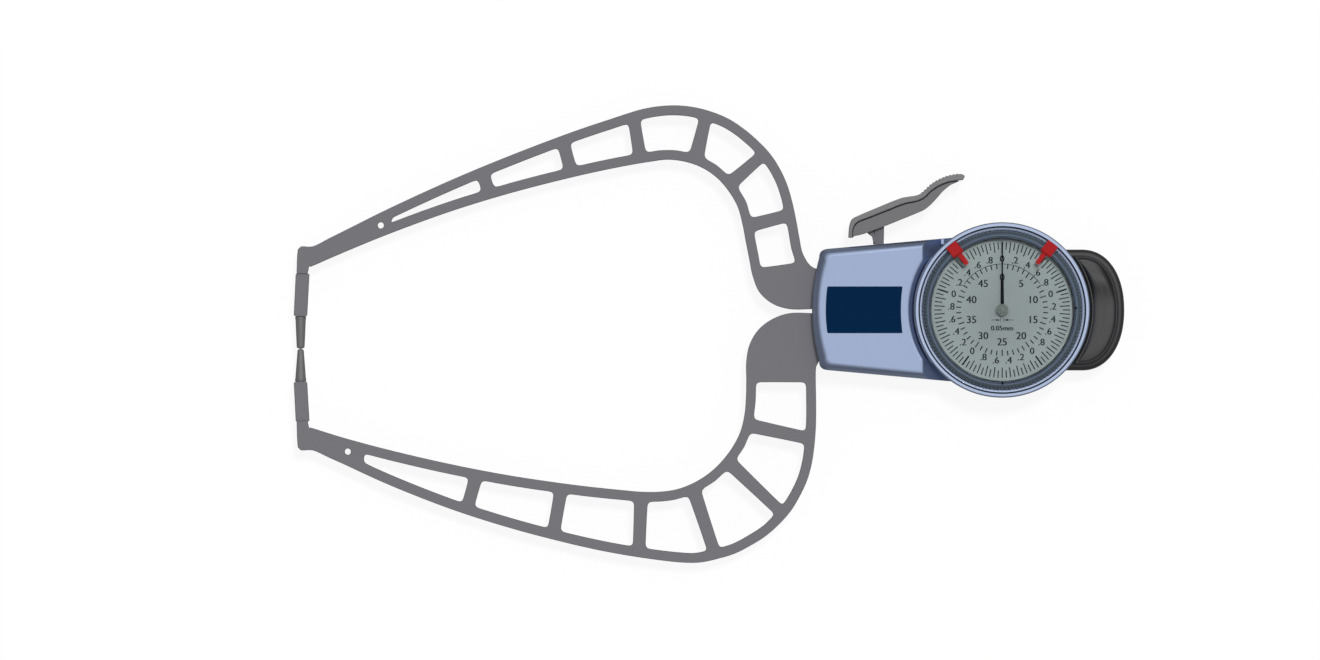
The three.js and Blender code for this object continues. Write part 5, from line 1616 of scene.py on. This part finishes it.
@dataclass(frozen=True)
class Bezel:
    """The turning bezel: rim, groove, inner ring, knurled cone, lens ring and lens."""

    outer: float = 32.9
    skirt: float = 31.8
    rim: tuple[float, float] = (31.4, 32.35)
    rim_top: float = 27.3
    rim_round: float = 0.9
    groove_level: float = 25.6
    ring: tuple[float, float] = (29.95, 30.9)
    ring_top: float = 26.2
    ring_dish: float = 0.13
    cone: tuple[float, float] = (29.7, 28.3)
    cone_foot: float = 25.3
    cone_shoulder: float = 26.2
    cone_top: float = 30.2
    lens_radius: float = 27.5
    clear_radius: float = 27.0
    ridges: int = 132
    ridge_size: tuple[float, float, float] = (3.3, 0.62, 0.42)
    mark_size: tuple[float, float, float] = (1.1, 0.8, 0.1)
    mark_angles: Point = (1.5, 270.0)

    def build(self) -> None:
        """Builds every piece of the bezel."""
        self.build_ring()
        self.build_cone()
        self.build_lens_ring()
        self.build_lens()
        self.build_marks()
        kept(SEAL_RUBBER, "lens_seal")

    def build_ring(self) -> None:
        """Turns the bezel ring: light crowns, painted shade in the groove and inside the inner
        ring.
        """
        low, _ = node_levels("bezel_ring")
        ledge, step, over, under = 25.9, 27.4, 25.2, 24.35
        inner, outer = self.ring
        rim_in, rim_out = self.rim
        foot = node_levels("bezel_slip_ring")[1] + 0.1
        drop = self.rim_round
        crown = oval((rim_out, self.rim_top - drop), (self.outer - rim_out, drop), 0, 90, 6)
        profile = [
            (ledge, foot), (self.skirt, foot), (self.skirt, low + 0.2), (self.skirt + 0.2, low),
            (self.outer - 0.3, low), (self.outer, low + 0.3), *crown,
            (rim_in + 0.06, self.rim_top), (rim_in, self.rim_top - 0.08),
            (rim_in, self.groove_level + 0.15), (rim_in - 0.15, self.groove_level),
            (outer + 0.1, self.groove_level), (outer, self.groove_level + 0.1),
            (outer, self.ring_top - 0.06), (outer - 0.06, self.ring_top),
            (inner + 0.06, self.ring_top - self.ring_dish),
            (inner, self.ring_top - self.ring_dish - 0.06), (inner, over),
            (step, over), (step, under), (ledge, under),
        ]
        ring = turned("bezel_ring_turned", profile, facets=BEZEL_FACETS)

        def between(middle: Vector) -> bool:
            """Tells whether a face takes the painted shade of the groove or of the ring's inside.
            """
            radius = math.hypot(middle.x, middle.y)
            return outer - 0.02 < radius < rim_in + 0.02 or radius < inner

        # The groove and the inside of the inner ring take the darker copy: painted shade
        two_toned(ring, RING_METAL, GROOVE_PAINTED_SHADE, between)
        placed(smoothed(ring, 30), "ring_metal", "bezel_body", "bezel_ring")

    def build_cone(self) -> None:
        """Turns the dark cone with its bright land and sets the knurl's ridges on it."""
        foot, top = self.cone
        seal, wall = 26.5, self.lens_radius + 0.15
        seat = 27.2
        reach = (foot - top, self.cone_top - 0.1 - self.cone_shoulder)
        slope = oval((top, self.cone_shoulder), reach, 0, 90, 9)
        profile = [
            (seal, self.cone_foot), (foot, self.cone_foot), *slope,
            (top - 0.08, self.cone_top), (wall, self.cone_top), (wall, seat), (seal, seat),
        ]
        cone = turned("knurled_cone", profile, facets=BEZEL_FACETS)
        land = self.cone_top - 0.12
        two_toned(cone, KNURL_METAL, LENS_RING_METAL, lambda middle: middle.z > land)
        placed(smoothed(cone, 30), "knurl_metal", "bezel_body", "knurled_ring")
        tilt = math.atan2(self.cone_top - self.cone_shoulder, foot - top)
        radius = (foot + top) / 2 + 0.28
        level = (self.cone_top + self.cone_shoulder) / 2 + 0.2
        spots = [
            Spot(at_angle(radius, a, level), a)
            for a in (2 * math.pi * i / self.ridges for i in range(self.ridges))
        ]
        length, width, height = self.ridge_size
        knurl = repeated(
            "knurl_ridges", ridge_pattern(KNURL_METAL, tilt), spots,
            length=length, width=width, height=height,
        )
        placed(knurl, "knurl_metal", "bezel_body")

    def build_lens_ring(self) -> None:
        """Turns the thin ring that holds the lens."""
        low, high = node_levels("lens_ring")
        clear, outer = self.clear_radius, self.lens_radius
        profile = [
            (clear, low), (outer, low), (outer, high - 0.08), (outer - 0.08, high),
            (outer - 0.2, high), (outer - 0.26, high - 0.1), (clear + 0.06, low + 0.8),
            (clear, low + 0.7),
        ]
        ring = turned("lens_ring_turned", profile, facets=BEZEL_FACETS)
        dressed(smoothed(ring, 30), LENS_RING_METAL, "bezel_body", "lens_ring")

    def build_lens(self) -> None:
        """Turns the flat lens with its flange."""
        low, high = node_levels("lens")
        clear, flange = self.clear_radius, 0.7
        profile = [
            (0, low), (self.lens_radius - 0.15, low), (self.lens_radius, low + 0.15),
            (self.lens_radius, low + flange), (clear - 0.1, low + flange),
            (clear - 0.15, high - 0.12), (clear - 0.25, high), (0, high),
        ]
        lens = smoothed(turned("lens_turned", profile, facets=RING_FACETS), 25)
        lens.data.materials.append(lens_material())
        placed(lens, "lens_clear", "bezel_body", "lens")

    def build_marks(self) -> None:
        """Sets the two small black index marks on the lens ring."""
        radius, level = self.lens_radius - 0.05, self.cone_top + 0.12
        spots = []
        for degrees in self.mark_angles:
            a = math.radians(degrees)
            spots.append(Spot(at_angle(radius, a, level), a, self.mark_size))
        marks = repeated("index_marks", bar_pattern(DIAL_INK), spots)
        placed(marks, DIAL_INK.slot, "bezel_body")


def ridge_pattern(finish: Finish, tilt: float) -> Pattern:
    """Makes the pattern of knurl ridges that lean along the cone.

    Args:
        finish: The ridges' finish.
        tilt: How steeply they lean, in radians.

    Returns:
        The node tree.
    """
    made = Pattern(f"ridges_{finish.name}")
    labels = {"length": "X", "width": "Y", "height": "Z"}
    sizes = made.add("ShaderNodeCombineXYZ", {
        axis: made.size(label, 0.001) for label, axis in labels.items()
    })
    core = made.add("GeometryNodeMeshCube", {"Size": sizes.outputs[0]})
    on_edge = made.moved(core.outputs[0], Rotation=(math.radians(45), 0, 0))
    made.scatter(made.moved(on_edge, Rotation=(0, tilt, 0)), finish, scaled=False)
    return made


@dataclass(frozen=True)
class Dial:
    """The printed dial: an outer scale in steps of 0.05 mm and an inner one in millimetres.

    The bars of the sign below the hub are given as place along X, length and width. The weight
    is how far the two copies of each word are shifted sideways.
    """

    radius: float = 27.2
    hole: float = 2.2
    ink: float = 0.03
    outer_end: float = 25.5
    outer_long: float = 21.6
    outer_short: float = 22.7
    outer_ticks: int = 100
    heavy_every: int = 20
    inner_end: float = 17.25
    inner_start: float = 15.4
    inner_ticks: int = 50
    arc_reach: float = 55.0
    outer_numbers: float = 19.1
    inner_numbers: float = 12.1
    weight: float = 0.08
    tick_widths: tuple[float, float] = (0.4, 0.62)
    inner_width: float = 0.42
    heavy_reach: float = 0.3
    fifth_reach: float = 0.5
    arc_half: float = 0.11
    number_size: float = 3.6
    outer_words: int = 25
    outer_step: float = 14.4
    inner_number_size: float = 3.9
    inner_words: int = 10
    inner_step: float = 36.0
    sign_radius: float = 6.9
    sign_size: float = 2.6
    sign_y: float = -3.75
    sign_bars: tuple[tuple[float, float, float], ...] = (
        (2.5, 3.4, 0.18), (0.6, 0.18, 1.3), (1.9, 0.9, 0.55), (1.3, 0.5, 0.3),
    )

    def build(self) -> None:
        """Builds the dial plate, its ticks, its arc and its numerals."""
        low, high = node_levels("dial_plate")
        profile = [
            (self.hole, low), (self.radius, low), (self.radius, high - 0.06),
            (self.radius - 0.06, high), (self.hole + 0.06, high), (self.hole, high - 0.06),
        ]
        disc = turned("dial_face_plate", profile, facets=RING_FACETS)
        dressed(smoothed(disc, 30), DIAL_PAPER, "bezel_body", "dial_plate")
        level = high + self.ink / 2
        ticks = repeated("dial_ticks", bar_pattern(DIAL_INK), self.ticks(level))
        placed(ticks, DIAL_INK.slot, "bezel_body")
        self.build_arc(high)
        self.build_words(high)

    def tick(self, clockwise: float, span: Point, width: float, level: float) -> Spot:
        """Returns a tick at a clockwise angle in degrees from the top.

        Args:
            clockwise: Its angle.
            span: Radii of its two ends.
            width: Its width.
            level: Its height.

        Returns:
            Where its bar stands.
        """
        a = math.radians(90 - clockwise)
        place = at_angle(sum(span) / 2, a, level)
        return Spot(place, a, (abs(span[1] - span[0]), width, self.ink))

    def ticks(self, level: float) -> list[Spot]:
        """Returns the bars of both scales and of the resolution sign below the hub."""
        made = []
        for i in range(self.outer_ticks):
            heavy = i % self.heavy_every == 0
            start = self.outer_long if i % 2 == 0 else self.outer_short
            span = (self.outer_long - self.heavy_reach if heavy else start, self.outer_end)
            width = self.tick_widths[int(heavy)]
            made.append(self.tick(360 * i / self.outer_ticks, span, width, level))
        for i in range(self.inner_ticks):
            reach = self.fifth_reach if i % 5 == 0 else 0.0
            span = (self.inner_start - reach, self.inner_end)
            made.append(self.tick(360 * i / self.inner_ticks, span, self.inner_width, level))
        for side in (-1, 1):
            for x, length, width in self.sign_bars:
                place = (side * x, self.sign_y, level)
                made.append(Spot(place, 0.0, (length, width, self.ink)))
        return made

    def build_arc(self, level: float) -> None:
        """Prints the thin arc that closes the inner scale at the top."""
        half = self.arc_half
        first, last = 90 - self.arc_reach, 90 + self.arc_reach
        outline = arc(self.inner_end + half, first, last, 90)
        outline += arc(self.inner_end - half, last, first, 90)
        line = plate("dial_arc", [outline], (level, level + self.ink), 0.004, 1)
        dressed(line, DIAL_INK, "bezel_body")

    def build_words(self, level: float) -> None:
        """Prints the numerals of both scales and the resolution."""
        made, size = [], self.number_size
        for i in range(self.outer_words):
            word, turn = f".{i % 5 * 2}" if i % 5 else "0", self.outer_step * i
            made.append(self.word(word, turn, self.outer_numbers, size, level))
        size = self.inner_number_size
        for i in range(self.inner_words):
            turn = self.inner_step * i
            made.append(self.word(str(5 * i), turn, self.inner_numbers, size, level))
        made.append(self.word("0.05mm", 180.0, self.sign_radius, self.sign_size, level))
        dressed(merged("dial_numerals", made), DIAL_INK, "bezel_body")

    def word(
        self, text: str, clockwise: float, radius: float, size: float, level: float
    ) -> bpy.types.Object:
        """Makes an upright word at a clockwise angle from the top.

        Args:
            text: What it says.
            clockwise: Its angle in degrees.
            radius: How far its middle lies from the axis.
            size: Height of the type.
            level: The level it is printed on.

        Returns:
            A mesh of the word, in place.
        """
        curve = bpy.data.curves.new("word", "FONT")
        curve.body, curve.size = text, 1.0
        curve.align_x, curve.align_y = "CENTER", "CENTER"
        curve.extrude, curve.resolution_u = self.ink / 2 / size, 3
        helper = linked("word", curve)
        mesh = as_mesh(helper)
        discard(helper)
        a = math.radians(90 - clockwise)
        middle = Vector(at_angle(radius, a, level + self.ink / 2))
        mesh.transform(Matrix.Translation(middle * MM) @ Matrix.Scale(size * MM, 4))
        twin = mesh.copy()
        mesh.transform(Matrix.Translation((-self.weight * MM, 0, 0)))
        twin.transform(Matrix.Translation((self.weight * MM, 0, 0)))
        return merged("word", [linked("word", mesh), linked("word_twin", twin)])


@dataclass(frozen=True)
class Hands:
    """The two hands and the cap over them."""

    long_length: float = 25.8
    long_tail: float = 1.9
    long_widths: tuple[float, float] = (0.7, 0.42)
    short_length: float = 12.2
    short_tail: float = 1.9
    short_widths: tuple[float, float] = (1.35, 1.1)
    short_bore: float = 1.15
    long_bore: float = 0.57
    hub: float = 1.75
    cap: float = 2.3

    def build(self) -> None:
        """Builds both hands and their cap."""
        self.hand(
            "short_hand", "short_hand_body",
            self.short_length, self.short_tail, self.short_widths, self.short_bore,
        )
        self.hand(
            "long_hand", "long_hand_body",
            self.long_length, self.long_tail, self.long_widths, self.long_bore,
        )
        low, high = node_levels("hand_cap")
        radius = self.cap
        profile = [
            (0, low), (radius, low), (radius, low + 0.14), (radius - 0.12, low + 0.3),
            (radius - 0.55, low + 0.42), (radius - 0.72, low + 0.3), (radius - 0.95, low + 0.3),
            (radius - 1.1, high - 0.04), (radius - 1.3, high), (0.42, high), (0.36, high - 0.2),
            (0, high - 0.2),
        ]
        cap = turned("hand_cap_turned", profile, facets=SMALL_FACETS)
        dressed(smoothed(cap, 24), CAP_GREY, "long_hand_body", "hand_cap")

    def hand(
        self, node: str, body: str, length: float, tail: float, widths: Point, bore: float
    ) -> None:
        """Builds one hand: a thin tapered blade with a round hub and rounded edges."""
        base, tip = widths[0] / 2, widths[1] / 2
        lean = math.degrees(math.asin(base / self.hub))
        outline = [
            *arc(self.hub, 90 + lean, 270 - lean, 20), (-base, -tail), (base, -tail),
            *arc(self.hub, -90 + lean, 90 - lean, 20), (tip, length - tip), (0.0, length),
            (-tip, length - tip),
        ]
        hole = arc(bore + 0.02, 0, 345, 23)
        made = plate(node + "_blade", [outline, hole], node_levels(node), 0.04)
        dressed(smoothed(made, 30), HAND_BLACK, body, node)


# Tolerance markers


@dataclass(frozen=True)
class Marker:
    """A red clip on the bezel's rim with a pointer over the dial."""

    name: str
    body: str
    angle: float
    lean: float
    inner: float = 26.3
    outer: float = 31.35
    tip: float = 21.6
    half: float = 2.3
    pointer_half: float = 0.85
    hook: float = 0.5
    hook_level: float = 26.0
    slope: float = 0.5

    def build(self) -> None:
        """Builds the clip with a bevelled inner end, its hook and its pointer."""
        high = node_levels(self.name)[1] - 0.02
        foot = node_levels("lens_ring")[1] + 0.12
        section = [
            (self.inner, foot), (self.inner, foot + 0.45), (self.inner + self.slope, high),
            (self.outer - 0.3, high), (self.outer, high - 0.3), (self.outer, self.hook_level),
            (self.outer - self.hook, self.hook_level), (self.outer - self.hook, foot),
        ]
        clip = swept("clip", section, self.half)
        step = clip.modifiers.new("edges", "BEVEL")
        step.width, step.segments, step.limit_method = 0.16 * MM, 2, "ANGLE"
        settled(clip)
        narrow, wide = self.pointer_half, self.pointer_half + 0.15
        pointer = [
            (self.tip + 0.35, self.lean - narrow), (self.inner + 0.5, self.lean - wide),
            (self.inner + 0.5, self.lean + wide), (self.tip + 0.35, self.lean + narrow),
            (self.tip, self.lean + narrow * 0.6), (self.tip, self.lean - narrow * 0.6),
        ]
        blade = plate("pointer", [pointer], (foot, foot + 0.4), 0.1)
        marker = merged(self.name + "_clip", [clip, blade])
        marker.data.transform(Matrix.Rotation(math.radians(self.angle), 4, "Z"))
        dressed(smoothed(marker, 30), MARKER_RED, self.body, self.name)


def swept(name: str, section: Sequence[Point], half: float) -> bpy.types.Object:
    """Makes a solid of constant section along Y.

    Args:
        name: The piece's name.
        section: Closed run of (x, z) points.
        half: Half its length along Y.

    Returns:
        The new object.
    """
    return skinned(name, [[(x, y, z) for x, z in section] for y in (-half, half)])


# Inner works, whose solids keep their shape


class InnerWorks:
    """The movement, the pivot and the screws inside the housing."""

    finishes: dict[Finish, tuple[str, ...]] = {
        WHEEL_BRASS: (
            "sector_gear", "first_wheel", "counter_wheel", "short_hand_wheel", "short_hand_pipe",
            "rear_movement_plate", "front_movement_plate",
            "plate_pillar_1", "plate_pillar_2", "plate_pillar_3",
        ),
        SCREW_STEEL: (
            "first_arbor", "first_pinion", "centre_pinion_arbor", "hair_spring", "return_spring",
            "pivot_shaft", "stop_pin", "fixed_arm_screw_1", "fixed_arm_screw_2",
            "sector_screw_1", "sector_screw_2",
            "movement_screw_1", "movement_screw_2", "movement_screw_3",
        ),
        BUSH_BRONZE: ("pivot_bush", "front_washer", "rear_washer"),
    }

    def build(self) -> None:
        """Gives each solid its finish."""
        for finish, nodes in self.finishes.items():
            kept(finish, *nodes)


# Studio


@dataclass(frozen=True)
class Studio:
    """The camera, the lamps, the surroundings and the pale floor."""

    view_centre: tuple[float, float] = (-128.3, -7.5)
    view_width: float = 495.0
    view_level: float = 24.0
    camera_level: float = 6000.0
    sensor: float = 36.0
    key_direction: tuple[float, float, float] = (0.12, 0.25, 1.0)
    key_strength: float = 1.9
    key_size: float = 9.0
    fill_direction: tuple[float, float, float] = (-0.25, -0.35, -1.0)
    fill_strength: float = 1.3
    fill_size: float = 90.0
    soft_direction: tuple[float, float, float] = (0.15, 0.28, 1.0)
    soft_falloff: float = 5.0
    soft_strength: float = 1.15
    dim_strength: float = 0.14
    ambient: float = 0.45
    floor_size: float = 9000.0
    floor_level: float = -0.02
    floor_glow: float = 0.9
    floor_gloss: float = 0.12

    def build(self) -> None:
        """Sets up everything round the object."""
        self.build_camera()
        self.build_lamp("key", self.key_direction, self.key_strength, self.key_size)
        self.build_lamp("fill", self.fill_direction, self.fill_strength, self.fill_size)
        self.build_world()
        self.build_floor()
        bpy.context.scene.view_settings.view_transform = "Standard"

    def build_camera(self) -> None:
        """Sets the camera straight above the dial's face, as the photograph was taken."""
        camera = bpy.data.cameras.new("camera")
        camera.sensor_width = self.sensor
        distance = self.camera_level - self.view_level
        camera.lens = self.sensor * distance / self.view_width
        camera.clip_end = 100.0
        holder = linked("camera", camera)
        x, y = self.view_centre
        holder.location = Vector((x, y, self.camera_level)) * MM
        bpy.context.scene.camera = holder

    def build_lamp(
        self, name: str, towards: tuple[float, float, float], strength: float, size: float
    ) -> None:
        """Hangs a distant soft lamp: the key above, or the fill that lights the back.

        Args:
            name: The lamp's name.
            towards: The way from the object to the lamp.
            strength: Its strength.
            size: Its size in degrees.
        """
        lamp = bpy.data.lights.new(name, "SUN")
        lamp.energy = strength
        lamp.angle = math.radians(size)
        holder = linked(name, lamp)
        holder.visible_glossy = name == "fill"
        holder.rotation_mode = "QUATERNION"
        direction = Vector(towards)
        holder.rotation_quaternion = direction.to_track_quat("Z", "Y")
        holder.location = direction

    def build_world(self) -> None:
        """Makes the surroundings: white for the eye, a soft overhead light for gloss."""
        world = bpy.data.worlds.new("studio")
        bpy.context.scene.world = world
        world.use_nodes = True
        nodes = Nodes(world.node_tree)
        path = nodes.add("ShaderNodeLightPath").outputs
        towards = nodes.add("ShaderNodeVectorMath", {
            0: nodes.add("ShaderNodeTexCoord").outputs["Generated"],
            1: Vector(self.soft_direction).normalized(),
        }, operation="DOT_PRODUCT")
        ahead = nodes.math("MAXIMUM", towards.outputs["Value"], 0.0)
        falling = nodes.math("POWER", ahead, self.soft_falloff)
        overhead = nodes.math(
            "MULTIPLY_ADD", falling, self.soft_strength, self.dim_strength
        )
        gloss = nodes.switch(path["Is Glossy Ray"], self.ambient, overhead)
        through = nodes.switch(path["Is Transmission Ray"], gloss, 1.0)
        lit = nodes.switch(path["Diffuse Depth"], through, self.ambient)
        seen = nodes.switch(path["Is Camera Ray"], lit, 1.0)
        shade = world.node_tree.nodes["Background"]
        nodes.fill(shade, {"Color": (1, 1, 1, 1), "Strength": seen})

    def build_floor(self) -> None:
        """Lays the pale floor, which glows for the eye, keeps a shadow and lets the fill in."""
        half, level = self.floor_size / 2, self.floor_level
        corners = [(-half, -half), (half, -half), (half, half), (-half, half)]
        mesh = bpy.data.meshes.new("floor")
        mesh.from_pydata([Vector((x, y, level)) * MM for x, y in corners], [], [(0, 1, 2, 3)])
        floor = linked("floor", mesh)
        made, nodes, shader = new_material("pale_floor")
        made.node_tree.nodes.remove(shader)
        seen = nodes.add("ShaderNodeLightPath").outputs
        unseen = nodes.switch(seen["Is Glossy Ray"], self.ambient, self.floor_gloss)
        strength = nodes.switch(seen["Is Camera Ray"], unseen, self.floor_glow)
        glow = nodes.add("ShaderNodeEmission", {"Strength": strength})
        matt = nodes.add("ShaderNodeBsdfDiffuse", {
            "Color": (*[1 - self.floor_glow] * 3, 1),
        })
        both = nodes.add("ShaderNodeAddShader", {0: matt.outputs[0], 1: glow.outputs[0]})
        back = nodes.add("ShaderNodeNewGeometry").outputs["Backfacing"]
        facing = nodes.add("ShaderNodeMixShader", {
            0: nodes.math("MAXIMUM", back, seen["Is Shadow Ray"]),
            1: both.outputs[0],
            2: nodes.add("ShaderNodeBsdfTransparent").outputs[0],
        })
        nodes.fill(made.node_tree.nodes["Material Output"], {"Surface": facing.outputs[0]})
        mesh.materials.append(made)


def main() -> None:
    """Builds the studio and every part of the gauge."""
    logging.basicConfig(level=logging.INFO, format="%(message)s")
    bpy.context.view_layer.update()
    Studio().build()
    SkeletonArm(
        "moving_arm", "upper_arm_body", sleeve=(-2.45, 16.1), pin=(2.05, 1.5, 12.12), tip_up=False
    ).build()
    SkeletonArm(
        "fixed_arm", "housing_body", sleeve=(-41.85, 15.05), pin=(2.1, 1.2, 12.17), tip_up=True
    ).build()
    Housing().build()
    Grip().build()
    Lever().build()
    Bezel().build()
    Dial().build()
    Hands().build()
    Marker("left_marker", "left_marker_body", 128.3, lean=-0.3).build()
    Marker("right_marker", "right_marker_body", 52.6, lean=0.3).build()
    InnerWorks().build()


if __name__ == "__main__":
    main()
